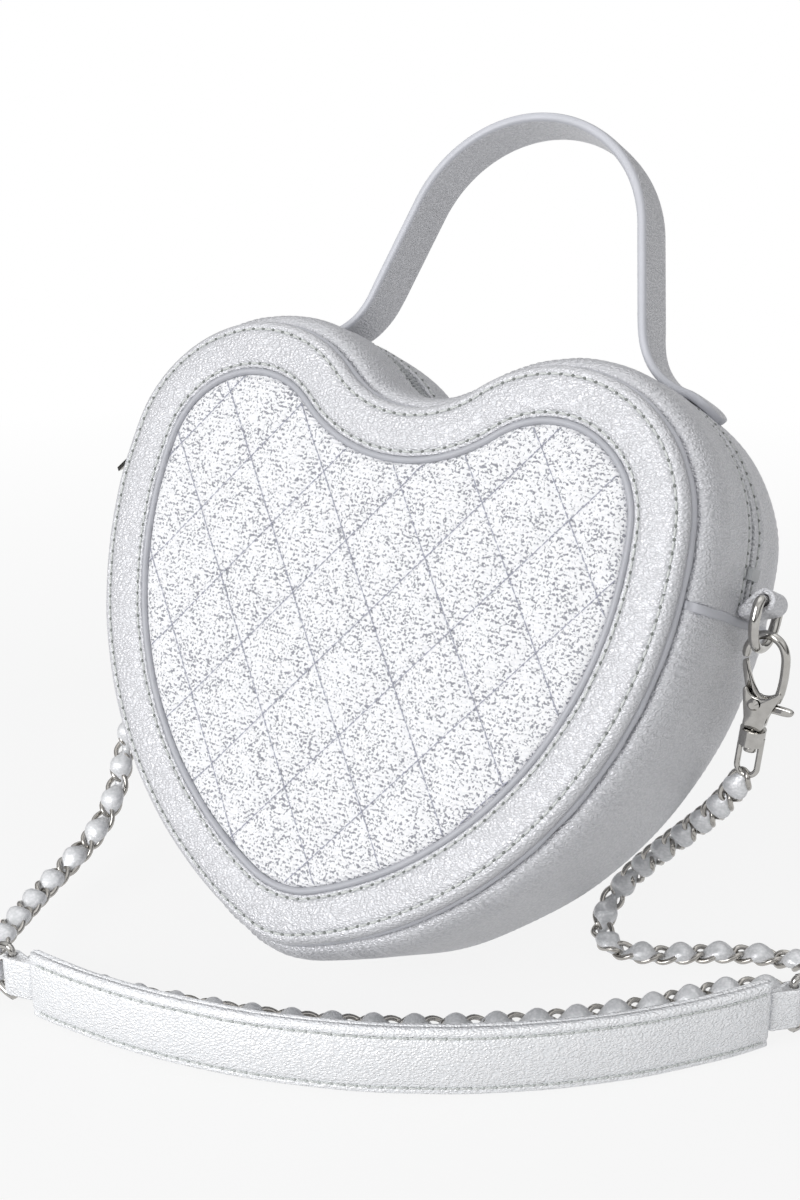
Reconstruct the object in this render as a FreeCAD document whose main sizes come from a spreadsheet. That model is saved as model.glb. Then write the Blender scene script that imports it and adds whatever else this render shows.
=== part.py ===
import FreeCAD, Part
import math
import os
import re
import Sketcher
from FreeCAD import Placement, Rotation, Vector

# Heart shaped purse with a quilted front, a top handle, a zip and a clip-on chain strap.
# Bag pieces are drawn upright: X right, Y back from the front piping, Z up from the tip of the heart.
# The finished bag then leans back on its lower rear edge; the strap is drawn on the floor it lies on.

doc = FreeCAD.newDocument("heart_purse")
sheet = doc.addObject("Spreadsheet::Sheet", "Sizes")

sizes = {
    # Heart outline of the bag, measured at the piping.
    "bag_width": 197.8,
    "bag_height": 183,
    "bag_depth": 65,
    "lobe_radius": "=min(bag_width * 0.2326; bag_height * 0.2514)",
    "shoulder_drop": "=lobe_radius * 0.2565",
    "notch_depth": 19,
    "tip_radius": 26,
    "window_tip": 30,
    "lean_angle": 26,
    # Sewn layers.
    "sewing_gap": 0.3,
    "piping_radius": 1.8,
    "board_inset": 3.9,
    "board_thickness": 1.8,
    "lining_thickness": 0.8,
    "leather": 2,
    "bulge": 5,
    "gusset_hem": 3.4,
    "frame_edge": 0.6,
    "frame_width": 16,
    "frame_thickness": 3.6,
    "frame_round": 2.6,
    "frame_inner_round": 1,
    "roll_radius": 1.4,
    "roll_proud": 0.5,
    "quilt_thickness": 4.6,
    "quilt_round": 3,
    "rear_edge": 3,
    "rear_thickness": 3,
    "rear_round": 2.2,
    "seam_height": 3,
    "seam_proud": 1.2,
    # Zip along the middle of the upper gusset.
    "zip_opening": 9,
    "tape_width": 12.3,
    "tape_thickness": 0.6,
    "teeth_gap": 0.4,
    "coil_width": 2.3,
    "coil_height": 1.6,
    "stop_width": 6,
    "stop_height": 3.5,
    "stop_thickness": 1.5,
    "stop_rise": 11,
    "slider_width": 7.8,
    "slider_plate": 1.4,
    "slider_flange": 1,
    "slider_length": 11,
    "slider_lift": 0.6,
    "slider_rest_angle": 165,
    "crown_radius": 3,
    "crown_thickness": 1.6,
    "crown_rise": 2.2,
    "pull_pin_radius": 1,
    "pull_pin_fit": 0.08,
    "pull_length": 35,
    "pull_width": 8,
    "pull_arm": 1.5,
    "pull_thickness": 1.6,
    "pull_droop_angle": 39,
    # Top handle.
    "handle_width": 18.5,
    "handle_thickness": 3.6,
    "handle_rise": "=bag_width * 0.43",
    "handle_spread": "=bag_width / 2 - lobe_radius - 0.28",
    "handle_splay_angle": 15,
    "handle_setback": 47,
    "handle_end_round": "=handle_width / 2 - 0.1",
    "handle_tab_width": 17.5,
    "handle_tab_thickness": 3.3,
    "handle_tab_length": 28,
    "handle_tab_angle": 14.5,
    # Side tabs and the rings that hang in them.
    "ring_tab_width": 12,
    "ring_tab_leather": 1.6,
    "ring_tab_reach": 7,
    "ring_tab_rise": 6,
    "ring_wire": 1.5,
    "ring_play": 0.4,
    "ring_corner": 2.5,
    "ring_height": 13,
    # Swivel hooks.
    "hook_wire": 1.5,
    "hook_bow": 5.75,
    "hook_bow_height": 14.5,
    "hook_seat_side": 1.2,
    "hook_seat_rise": 1.8,
    "hook_nose": 2.5,
    "hook_body_top": 3.2,
    "hook_body_low": 9,
    "hook_body_width": 8.4,
    "hook_foot_width": 6,
    "hook_thickness": 5,
    "hook_slot": 2.4,
    "hook_slot_low": 5.5,
    "hook_slot_top": 0.6,
    "hook_tilt_angle": 5,
    "gate_thickness": 2,
    "gate_reach": 10.5,
    "gate_gap": 0.5,
    "gate_bevel": 0.95,
    "pivot_radius": 1,
    "pivot_fit": 0.05,
    "pivot_head": 1.8,
    "pivot_rise": 1,
    "pivot_side": 0.5,
    "post_radius": 1.5,
    "post_head": 1.9,
    "post_head_height": 1.5,
    "collar_radius": 3.8,
    "collar_height": 4.9,
    "collar_gap": 0.3,
    "eye_wire": 0.9,
    "eye_half_width": 3.1,
    "eye_drop": 10.5,
    # Shoulder pad of the strap, lying on its edge in a bow.
    "pad_height": 22,
    "pad_length": 234,
    "pad_layer": 2.4,
    "pad_bow_radius": 220,
    "pad_facing_angle": -60.5,
    "pad_centre_x": -63,
    "pad_centre_y": 125,
    "pad_tab_width": 13,
    "pad_tab_length": 9,
    "pad_tab_leather": 1.4,
    "pad_ring_wire": 1.2,
    "pad_ring_height": 10,
    "pad_ring_corner": 2,
    # Chain threaded with a leather lace.
    "chain_width": 8,
}

for row, (name, number) in enumerate(sizes.items(), 1):
    sheet.set("A%d" % row, name)
    sheet.set("B%d" % row, str(number))
    sheet.setAlias("B%d" % row, name)
doc.recompute()

up = Vector(0, 0, 1)
back = Vector(0, 1, 0)
right = Vector(1, 0, 0)
touching = 1e-4

# The heart is widest at the side seams, a little below the middle of its lobes
seam_level = "(bag_height - lobe_radius - shoulder_drop)"
# Outline that the window in the front frame, and all that lies inside it, keeps step with
window_outline = "(window_tip + frame_width)"


# Sizes as text formulas
def bound(text):
    return re.sub(r"[a-z_]+", lambda found: "Sizes." + found[0] if found[0] in sizes else found[0], text)


def value(text):
    return float(sheet.evalExpression(bound(text)))


def drive(sketch, constraint, text):
    index = sketch.addConstraint(constraint)
    sketch.setExpression("Constraints[%d]" % index, bound(text))


# Bodies and sketches
def new_body(label):
    body = doc.addObject("PartDesign::Body", label)
    body.Label = label
    return body


def new_sketch(body, name, role, offset=None):
    sketch = body.newObject("Sketcher::SketchObject", body.Label + "_" + name)
    plane = next(item for item in body.Origin.OriginFeatures if item.Role == role)
    sketch.AttachmentSupport = [(plane, "")]
    sketch.MapMode = "FlatFace"
    if offset:
        sketch.setExpression("AttachmentOffset.Base.z", bound(offset))
    return sketch


def fix_point(sketch, geometry, end, x_text, y_text):
    places = (("DistanceX", x_text, -2), ("DistanceY", y_text, -1))
    for kind, text, axis in places:
        amount = value(text)
        if abs(amount) < 1e-9:
            sketch.addConstraint(Sketcher.Constraint("PointOnObject", geometry, end, axis))
        elif amount > 0:
            drive(sketch, Sketcher.Constraint(kind, -1, 1, geometry, end, amount), text)
        else:
            drive(sketch, Sketcher.Constraint(kind, geometry, end, -1, 1, -amount), "-(%s)" % text)


# A line, or an arc when a radius is given; the arc turns left for a positive radius.
# Also gives the sketch numbers of the ends where the edge starts and finishes.
def edge_between(start, finish, radius):
    if not radius:
        return Part.LineSegment(start, finish), 1, 2
    middle = (start + finish) * 0.5
    chord = finish - start
    left = Vector(-chord.y, chord.x, 0).normalize()
    height = math.sqrt(max(radius**2 - (chord.Length / 2)**2, 0))
    centre = middle + left * math.copysign(height, radius)
    first, second = (start, finish) if radius > 0 else (finish, start)
    begin = math.atan2(first.y - centre.y, first.x - centre.x)
    end = math.atan2(second.y - centre.y, second.x - centre.x)
    if end <= begin:
        end += 2 * math.pi
    arc = Part.ArcOfCircle(Part.Circle(centre, up, abs(radius)), begin, end)
    return (arc, 1, 2) if radius > 0 else (arc, 2, 1)


# Draws corners (x, y) or (x, y, radius of the arc that leaves the corner), each a formula
def draw_path(sketch, corners, closed=True):
    points = [Vector(value(corner[0]), value(corner[1]), 0) for corner in corners]
    following = points[1:] + points[:1]
    drawn = []
    for corner, start, finish in list(zip(corners, points, following))[:len(points) if closed else -1]:
        radius = value(corner[2]) if len(corner) > 2 else 0
        edge, begin, end = edge_between(start, finish, radius)
        geometry = sketch.addGeometry(edge, False)
        fix_point(sketch, geometry, begin, corner[0], corner[1])
        if radius and (finish - start).Length < 2 * abs(radius) - 1e-6:
            drive(sketch, Sketcher.Constraint("Radius", geometry, abs(radius)), "abs(%s)" % corner[2])
        drawn.append((geometry, begin, end))
    for one, two in zip(drawn, drawn[1:] + drawn[:1] if closed else drawn[1:]):
        sketch.addConstraint(Sketcher.Constraint("Coincident", one[0], one[2], two[0], two[1]))
    if not closed:
        fix_point(sketch, drawn[-1][0], drawn[-1][2], corners[-1][0], corners[-1][1])


def draw_circle(sketch, x_text, y_text, radius_text):
    circle = Part.Circle(Vector(value(x_text), value(y_text), 0), up, value(radius_text))
    geometry = sketch.addGeometry(circle, False)
    fix_point(sketch, geometry, 3, x_text, y_text)
    drive(sketch, Sketcher.Constraint("Radius", geometry, value(radius_text)), radius_text)


# Solid features
def pad(body, sketch, length, middle=False, backwards=False):
    feature = body.newObject("PartDesign::Pad", sketch.Label + "_pad")
    feature.Profile = sketch
    feature.setExpression("Length", bound(length))
    feature.Midplane = middle
    feature.Reversed = backwards
    return feature


def pocket(body, sketch, length):
    feature = body.newObject("PartDesign::Pocket", sketch.Label + "_pocket")
    feature.Profile = sketch
    feature.setExpression("Length", bound(length))
    feature.Midplane = True
    return feature


def pipe(body, section, path):
    feature = body.newObject("PartDesign::AdditivePipe", path.Label + "_sweep")
    feature.Profile = section
    feature.Spine = (path, [])
    return feature


def turn(body, sketch, angle="360"):
    feature = body.newObject("PartDesign::Revolution", sketch.Label + "_turn")
    feature.Profile = sketch
    feature.ReferenceAxis = (sketch, ["V_Axis"])
    feature.setExpression("Angle", bound(angle))
    feature.Midplane = True
    return feature


def round_edges(body, base, wanted, radius):
    doc.recompute()
    chosen = ["Edge%d" % index for index, edge in enumerate(base.Shape.Edges, 1) if wanted(edge)]
    feature = body.newObject("PartDesign::Fillet", base.Label + "_round")
    feature.Base = (base, chosen)
    feature.setExpression("Radius", bound(radius))
    return feature


# Edges lying flat at one value of Y that belong to the outer or the inner loop there
def rim(base, y_text, outer=True):
    doc.recompute()
    place = value(y_text)

    def lies_at(shape):
        return abs(shape.BoundBox.YMin - place) < touching and abs(shape.BoundBox.YMax - place) < touching

    face = next(item for item in base.Shape.Faces if lies_at(item))
    outside = face.OuterWire.Edges
    return lambda edge: lies_at(edge) and outer == any(edge.isSame(other) for other in outside)


# Heart outline
def heart(inset, rounding="tip_radius"):
    half = value("bag_width / 2") - inset
    tip = value(rounding) - inset
    tip_height = inset + tip
    wide = value(seam_level)
    side = (half**2 + (wide - tip_height)**2 - tip**2) / (2 * (half - tip))
    lobe = value("lobe_radius") - inset
    lobe_height = value("bag_height - lobe_radius")
    lobe_side = half - side + math.sqrt((side - lobe)**2 - (lobe_height - wide)**2)
    low = value("bag_height - notch_depth") - inset - lobe_height
    notch = (lobe_side**2 + low**2 - lobe**2) / (2 * (lobe - low))
    return {
        "half": half, "tip": tip, "tip_height": tip_height, "wide": wide, "side": side, "side_x": half - side,
        "lobe": lobe, "lobe_height": lobe_height, "lobe_side": lobe_side,
        "notch": notch, "notch_height": lobe_height + low + notch,
    }


# Arcs of the outline in order from the right-hand seam, anticlockwise; each (x, z, radius, from, to)
def heart_arcs(size):
    join_side = math.atan2(size["lobe_height"] - size["wide"], size["lobe_side"] - size["side_x"])
    join_notch = math.atan2(size["notch_height"] - size["lobe_height"], -size["lobe_side"])
    join_tip = math.atan2(size["tip_height"] - size["wide"], -size["side_x"])
    side_x, wide, side = size["side_x"], size["wide"], size["side"]
    lobe_x, lobe_z, lobe = size["lobe_side"], size["lobe_height"], size["lobe"]
    half_turn = math.pi
    return {
        "right_shoulder": (side_x, wide, side, 0, join_side),
        "right_lobe": (lobe_x, lobe_z, lobe, join_side, join_notch),
        "notch": (0, size["notch_height"], size["notch"], -join_notch, join_notch - half_turn),
        "left_lobe": (-lobe_x, lobe_z, lobe, half_turn - join_notch, half_turn - join_side),
        "left_shoulder": (-side_x, wide, side, half_turn - join_side, half_turn),
        "left_flank": (-side_x, wide, side, half_turn, half_turn - join_tip),
        "tip": (0, size["tip_height"], size["tip"], half_turn - join_tip, 2 * half_turn + join_tip),
        "right_flank": (side_x, wide, side, join_tip, 0),
    }


upper_run = ("right_shoulder", "right_lobe", "notch", "left_lobe", "left_shoulder")
lower_run = ("left_flank", "tip", "right_flank")


# Draws the heart, or one run of it, at an inset given as a formula
def draw_heart(sketch, inset, rounding="tip_radius", run=upper_run + lower_run):
    size = heart(value(inset), rounding)
    arcs = heart_arcs(size)
    tip = "(%s - (%s))" % (rounding, inset)
    tip_height = rounding
    half = "(bag_width / 2 - (%s))" % inset
    side = "(%s^2 + (%s - %s)^2 - %s^2) / (2 * (%s - %s))" % (half, seam_level, tip_height, tip, half, tip)
    drawn = {}
    for name in run:
        x, z, radius, start, finish = arcs[name]
        circle = Part.Circle(Vector(x, z, 0), up, radius)
        drawn[name] = sketch.addGeometry(Part.ArcOfCircle(circle, start, finish), False)
    closed = len(run) == len(arcs)
    pairs = list(zip(run, run[1:] + run[:1] if closed else run[1:]))
    for name, following in pairs:
        leaving = 1 if name == "notch" else 2
        entering = 2 if following == "notch" else 1
        ends = (drawn[name], leaving, drawn[following], entering)
        same_side = arcs[name][:3] == arcs[following][:3]
        sketch.addConstraint(Sketcher.Constraint("Coincident" if same_side else "Tangent", *ends))
    for name, geometry in drawn.items():
        if name.endswith("lobe"):
            drive(sketch, Sketcher.Constraint("Radius", geometry, size["lobe"]), "lobe_radius - (%s)" % inset)
            fixed = Sketcher.Constraint("DistanceY", -1, 1, geometry, 3, size["lobe_height"])
            drive(sketch, fixed, "bag_height - lobe_radius")
        elif name == "tip":
            drive(sketch, Sketcher.Constraint("Radius", geometry, size["tip"]), tip)
            fixed = Sketcher.Constraint("DistanceY", -1, 1, geometry, 3, size["tip_height"])
            drive(sketch, fixed, tip_height)
        elif name != "notch":
            drive(sketch, Sketcher.Constraint("Radius", geometry, size["side"]), side)
            fixed = Sketcher.Constraint("DistanceY", -1, 1, geometry, 3, size["wide"])
            drive(sketch, fixed, seam_level)


# A flat heart from one depth to a depth behind it, with an optional heart-shaped window
def heart_slab(label, inset, front, rear, rounding="tip_radius", window=None):
    body = new_body(label)
    outline = new_sketch(body, "outline", "XZ_Plane", "-(%s)" % rear)
    draw_heart(outline, inset, rounding)
    if window:
        draw_heart(outline, window, window_outline)
    slab = pad(body, outline, "(%s) - (%s)" % (rear, front))
    return body, slab


# A round cord that follows the heart at one inset and depth
def heart_cord(label, inset, depth, radius, rounding="tip_radius"):
    body = new_body(label)
    path = new_sketch(body, "path", "XZ_Plane", "-(%s)" % depth)
    draw_heart(path, inset, rounding)
    section = new_sketch(body, "section", "YZ_Plane")
    draw_circle(section, depth, inset, radius)
    pipe(body, section, path)
    return body


# A band swept along the upper or lower run of the heart from a section drawn at the right-hand seam.
# Section corners are (offset outward from the outline, depth, optional arc radius).
def heart_band(label, run, corners):
    body = new_body(label)
    path = new_sketch(body, "path", "XZ_Plane")
    draw_heart(path, "0", run=run)
    section = new_sketch(body, "section", "XY_Plane", seam_level)
    seam = "bag_width / 2 + (%s)"
    draw_path(section, [(seam % corner[0],) + tuple(corner[1:]) for corner in corners])
    pipe(body, section, path)
    return body


bag_bodies = []


# Padded heart front
def front_panel():
    back_face = "-(piping_radius + sewing_gap)"
    front_face = "%s - frame_thickness" % back_face
    frame, slab = heart_slab("front_frame", "frame_edge", front_face, back_face, window="frame_width")
    rolled = round_edges(frame, slab, rim(slab, front_face), "frame_round")
    round_edges(frame, rolled, rim(rolled, front_face, outer=False), "frame_inner_round")
    roll_inset = "frame_width + roll_radius + sewing_gap"
    roll_depth = "%s + roll_radius - roll_proud" % front_face
    roll = heart_cord("front_edge_roll", roll_inset, roll_depth, "roll_radius", window_outline)
    quilt_inset = "frame_width + 2 * roll_radius + 2 * sewing_gap"
    quilt_face = "%s - quilt_thickness" % back_face
    quilt, cushion = heart_slab("front_quilt", quilt_inset, quilt_face, back_face, window_outline)
    tightest = "(%s - (%s))" % (window_outline, quilt_inset)
    round_edges(quilt, cushion, rim(cushion, quilt_face), "min(quilt_round; 0.9 * %s)" % tightest)
    board_back = "%s + board_thickness" % back_face
    board, slab = heart_slab("front_backing", "board_inset", back_face, board_back)
    lining, slab = heart_slab("lining_front", "board_inset", board_back, "%s + lining_thickness" % board_back)
    piping = heart_cord("front_piping", "piping_radius", "0", "piping_radius")
    bag_bodies.extend([frame, roll, quilt, board, lining, piping])


rear_face = "bag_depth + piping_radius + sewing_gap + rear_thickness"


# Plain back of the bag
def rear_panel():
    inner_face = "bag_depth + piping_radius + sewing_gap"
    outer_face = rear_face
    panel, slab = heart_slab("rear_panel", "rear_edge", inner_face, outer_face)
    round_edges(panel, slab, rim(slab, outer_face), "rear_round")
    board_front = "%s - board_thickness" % inner_face
    board, slab = heart_slab("rear_backing", "board_inset", board_front, inner_face)
    lining_front = "%s - lining_thickness" % board_front
    lining, slab = heart_slab("lining_rear", "board_inset", lining_front, board_front)
    piping = heart_cord("rear_piping", "piping_radius", "bag_depth", "piping_radius")
    bag_bodies.extend([panel, board, lining, piping])


# Leather wall round the bag: a lower piece, and two upper pieces either side of the zip
def gusset():
    edge = "piping_radius + sewing_gap"
    inner = "bulge - leather"
    corner = "%s + bulge" % edge
    hem = "-gusset_hem"
    front = [
        (inner, corner, "-(%s)" % inner), ("0", "%s + leather" % edge), (hem, "%s + leather" % edge),
        (hem, edge), ("0", edge, "bulge"), ("bulge", corner),
    ]
    rear = [
        ("bulge", "bag_depth - (%s)" % corner, "bulge"), ("0", "bag_depth - (%s)" % edge),
        (hem, "bag_depth - (%s)" % edge), (hem, "bag_depth - (%s) - leather" % edge),
        ("0", "bag_depth - (%s) - leather" % edge, "-(%s)" % inner), (inner, "bag_depth - (%s)" % corner),
    ]
    lip_front = "(bag_depth - zip_opening) / 2"
    lip_rear = "(bag_depth + zip_opening) / 2"
    lower = heart_band("lower_gusset", lower_run, front + rear)
    front_lip = [("bulge", lip_front), (inner, lip_front)]
    upper_front = heart_band("zip_gusset_front", upper_run, front + front_lip)
    upper_rear = heart_band("zip_gusset_rear", upper_run, rear + [(inner, lip_rear), ("bulge", lip_rear)])
    bag_bodies.extend([lower, upper_front, upper_rear])


# A straight-sided band under the gusset, from one depth to another
def flat_band(label, run, low, high, start, finish):
    corners = [(low, start), (high, start), (high, finish), (low, finish)]
    return heart_band(label, run, corners)


# Fabric inside the gusset
def lining_bands():
    edge = "piping_radius + sewing_gap + bulge"
    top = "bulge - leather - sewing_gap"
    low = "%s - lining_thickness" % top
    under_tape = "%s - tape_thickness" % top
    under_low = "%s - lining_thickness" % under_tape
    lower = flat_band("lining_band_lower", lower_run, low, top, edge, "bag_depth - (%s)" % edge)
    front_end = "(bag_depth - zip_opening) / 2"
    front = flat_band("lining_band_front", upper_run, under_low, under_tape, edge, front_end)
    rear_start = "(bag_depth + zip_opening) / 2"
    rear_end = "bag_depth - (%s)" % edge
    rear = flat_band("lining_band_rear", upper_run, under_low, under_tape, rear_start, rear_end)
    bag_bodies.extend([lower, front, rear])


# Zip tapes and coils
def zip_rows():
    tape_top = "bulge - leather"
    tape_low = "%s - tape_thickness" % tape_top
    coil_top = "%s + coil_height" % tape_top
    near = "(bag_depth - teeth_gap) / 2"
    far = "(bag_depth + teeth_gap) / 2"
    front = flat_band("zip_tape_front", upper_run, tape_low, tape_top, "%s - tape_width" % near, near)
    rear = flat_band("zip_tape_rear", upper_run, tape_low, tape_top, far, "%s + tape_width" % far)
    coil_front = flat_band("zip_coil_front", upper_run, tape_top, coil_top, "%s - coil_width" % near, near)
    coil_rear = flat_band("zip_coil_rear", upper_run, tape_top, coil_top, far, "%s + coil_width" % far)
    bag_bodies.extend([front, rear, coil_front, coil_rear])


def box(label, width, depth, height, x_text, y_text, z_text):
    solid = doc.addObject("Part::Box", label)
    solid.Label = label
    for name, text in (("Length", width), ("Width", depth), ("Height", height)):
        solid.setExpression(name, bound(text))
    solid.Placement = Placement(Vector(value(x_text), value(y_text), value(z_text)), Rotation())
    return solid


# Metal stops at both ends of the zip
def zip_stops():
    face = "bag_width / 2 + bulge - leather + coil_height"
    depth = "(bag_depth - stop_width) / 2"
    height = "%s + stop_rise" % seam_level
    far_face = "-(%s) - stop_thickness" % face
    pair = doc.addObject("Part::Compound", "zip_stops")
    pair.Label = "zip_stops"
    pair.Links = [
        box("stop_right", "stop_thickness", "stop_width", "stop_height", face, depth, height),
        box("stop_left", "stop_thickness", "stop_width", "stop_height", far_face, depth, height),
    ]
    bag_bodies.append(pair)


# Folded strips over the side seams
def side_seams():
    edge = "piping_radius + sewing_gap + bulge"
    face = "bag_width / 2 + bulge"
    depth = "bag_depth - 2 * (%s)" % edge
    height = "%s - seam_height" % seam_level
    for label, start in (("side_seam_right", face), ("side_seam_left", "-(%s) - seam_proud" % face)):
        bag_bodies.append(box(label, "seam_proud", depth, "seam_height", start, edge, height))


# Zip slider, drawn about the axis of the left lobe with the middle of the zip at the origin
def zip_slider():
    body = new_body("zip_slider")
    section = new_sketch(body, "section", "XY_Plane")
    low = "lobe_radius + bulge - leather + sewing_gap"
    under = "lobe_radius + bulge - leather + coil_height + slider_lift"
    top = "%s + slider_plate" % under
    edge = "slider_width / 2"
    inner = "slider_width / 2 - slider_flange"
    corners = [
        (low, "-(%s)" % edge), (top, "-(%s)" % edge), (top, edge), (low, edge),
        (low, inner), (under, inner), (under, "-(%s)" % inner), (low, "-(%s)" % inner),
    ]
    draw_path(section, corners)
    turn(body, section, "slider_length / (lobe_radius + bulge) * 180 / pi")
    crown = new_sketch(body, "crown", "XZ_Plane")
    foot = "%s - slider_plate / 2" % top
    hole = "%s + crown_rise" % top
    draw_path(crown, [(foot, "-crown_radius"), (hole, "-crown_radius", "crown_radius"),
                      (hole, "crown_radius"), (foot, "crown_radius")])
    draw_circle(crown, hole, "0", "pull_pin_radius + pull_pin_fit")
    pad(body, crown, "crown_thickness", middle=True)
    return body, value(hole)


# Leaf-shaped pull with a cross pin at the origin and its length along X
def zip_pull():
    body = new_body("zip_pull")
    leaf = new_sketch(body, "leaf", "XY_Plane")
    slot = "crown_thickness / 2 + sewing_gap"
    arm = "%s + pull_arm" % slot
    heel = "-(pull_pin_radius + sewing_gap)"
    throat = "crown_radius + sewing_gap"
    neck = "crown_radius + 2 * pull_arm"
    wide = "pull_width / 2"
    side = [(heel, arm), (neck, arm), ("pull_length / 4", wide), ("pull_length * 0.6", wide)]
    lower = [(x, "-(%s)" % y) for x, y in side]
    window = [(heel, slot), (throat, slot), (throat, "-(%s)" % slot), (heel, "-(%s)" % slot)]
    draw_path(leaf, lower + [("pull_length", "0")] + side[::-1] + window)
    pad(body, leaf, "pull_thickness", middle=True)
    pin = new_sketch(body, "pin", "XZ_Plane")
    draw_circle(pin, "0", "0", "pull_pin_radius")
    pad(body, pin, "2 * (%s)" % arm, middle=True)
    return body


# Arched handle strap, drawn with the middle of its width at y = 0
def handle_end_height():
    return "bag_height + bulge + 2 * sewing_gap + handle_tab_thickness"


def handle():
    body = new_body("handle")
    strap = new_sketch(body, "strap", "XZ_Plane")
    foot = handle_end_height()
    lean = "handle_splay_angle * pi / 180 * 1 rad"
    half = "handle_thickness / 2"
    # The arch is as wide as lets the splayed legs stand on the two lobes
    reach = "handle_spread * cos(%s) - (bag_height + handle_rise - (%s)) * sin(%s)" % (lean, foot, lean)
    arch_radius = "(%s) / (1 - sin(%s))" % (reach, lean)
    middle = "(bag_height + handle_rise - %s)" % arch_radius

    def side(radius):
        turn_x = "(%s) * cos(%s)" % (radius, lean)
        turn_z = "%s + (%s) * sin(%s)" % (middle, radius, lean)
        foot_x = "%s + (%s - (%s)) * tan(%s)" % (turn_x, turn_z, foot, lean)
        return turn_x, turn_z, foot_x

    outer, inner = "%s + %s" % (arch_radius, half), "%s - %s" % (arch_radius, half)
    out_x, out_z, out_foot = side(outer)
    in_x, in_z, in_foot = side(inner)
    top = "%s + (%s)"
    corners = [
        (out_foot, foot), (out_x, out_z, outer), ("0", top % (middle, outer), outer),
        ("-(%s)" % out_x, out_z), ("-(%s)" % out_foot, foot), ("-(%s)" % in_foot, foot),
        ("-(%s)" % in_x, in_z, "-(%s)" % inner), ("0", top % (middle, inner), "-(%s)" % inner),
        (in_x, in_z), (in_foot, foot),
    ]
    draw_path(strap, corners)
    arch = pad(body, strap, "handle_width", middle=True)
    low = value(foot)

    def at_foot(edge):
        flat = abs(edge.BoundBox.ZMin - low) < touching and abs(edge.BoundBox.ZMax - low) < touching
        return flat and edge.BoundBox.YLength < touching

    round_edges(body, arch, at_foot, "handle_end_round")
    return body


# Curved sewn tabs under the handle ends, drawn about the axis of a lobe
def handle_tab(label):
    body = new_body(label)
    section = new_sketch(body, "section", "XY_Plane")
    low = "lobe_radius + bulge + sewing_gap"
    high = "%s + handle_tab_thickness" % low
    half = "handle_tab_width / 2"
    draw_path(section, [(low, "-(%s)" % half), (high, "-(%s)" % half), (high, half), (low, half)])
    turn(body, section, "handle_tab_length / (lobe_radius + bulge) * 180 / pi")
    return body


# A folded leather loop: fold at the origin with a hole for a ring, narrowing to a sewn end along -X and -Y
def folded_tab(label, role, wire, play, leather, end_x, end_y, width):
    body = new_body(label)
    outline = new_sketch(body, "outline", role)
    hole = "%s + %s" % (wire, play)
    fold = "%s + %s" % (hole, leather)
    big, small = value(fold), value(leather)
    end = Vector(value(end_x), value(end_y), 0)
    along = math.atan2(end.y, end.x)
    spread = math.acos((big - small) / end.Length)
    zero = Vector(0, 0, 0)

    def on_circle(centre, radius, angle):
        return centre + Vector(math.cos(angle), math.sin(angle), 0) * radius

    first, second = along + spread, along - spread
    pieces = [
        Part.ArcOfCircle(Part.Circle(zero, up, big), first, second + 2 * math.pi),
        Part.LineSegment(on_circle(zero, big, second), on_circle(end, small, second)),
        Part.ArcOfCircle(Part.Circle(end, up, small), second, first),
        Part.LineSegment(on_circle(end, small, first), on_circle(zero, big, first)),
    ]
    arc, line, tail, back_line = [outline.addGeometry(piece, False) for piece in pieces]
    meetings = (
        ((arc, 2), (line, 1)), ((tail, 1), (line, 2)), ((tail, 2), (back_line, 1)),
        ((arc, 1), (back_line, 2)),
    )
    for one, two in meetings:
        outline.addConstraint(Sketcher.Constraint("Tangent", *one, *two))
    drive(outline, Sketcher.Constraint("Radius", arc, big), fold)
    drive(outline, Sketcher.Constraint("Radius", tail, small), leather)
    fix_point(outline, arc, 3, "0", "0")
    fix_point(outline, tail, 3, end_x, end_y)
    draw_circle(outline, "0", "0", hole)
    pad(body, outline, width, middle=True)
    return body


# A wire ring with one straight bar, the bar along Y at the origin and the bow hanging down
def wire_ring(label, wire, bar, corner, height):
    body = new_body(label)
    path = new_sketch(body, "path", "YZ_Plane")
    half = "(%s) / 2 + %s" % (bar, corner)
    bend = "(%s) / 2" % bar
    low = "-(%s) + %s" % (height, half)
    corners = [
        ("0", "0"), ("-(%s)" % bend, "0", corner), ("-(%s)" % half, "-(%s)" % corner),
        ("-(%s)" % half, low, half), (half, low), (half, "-(%s)" % corner, corner), (bend, "0"),
    ]
    draw_path(path, corners)
    section = new_sketch(body, "section", "XZ_Plane")
    draw_circle(section, "0", "0", wire)
    pipe(body, section, path)
    return body


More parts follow.
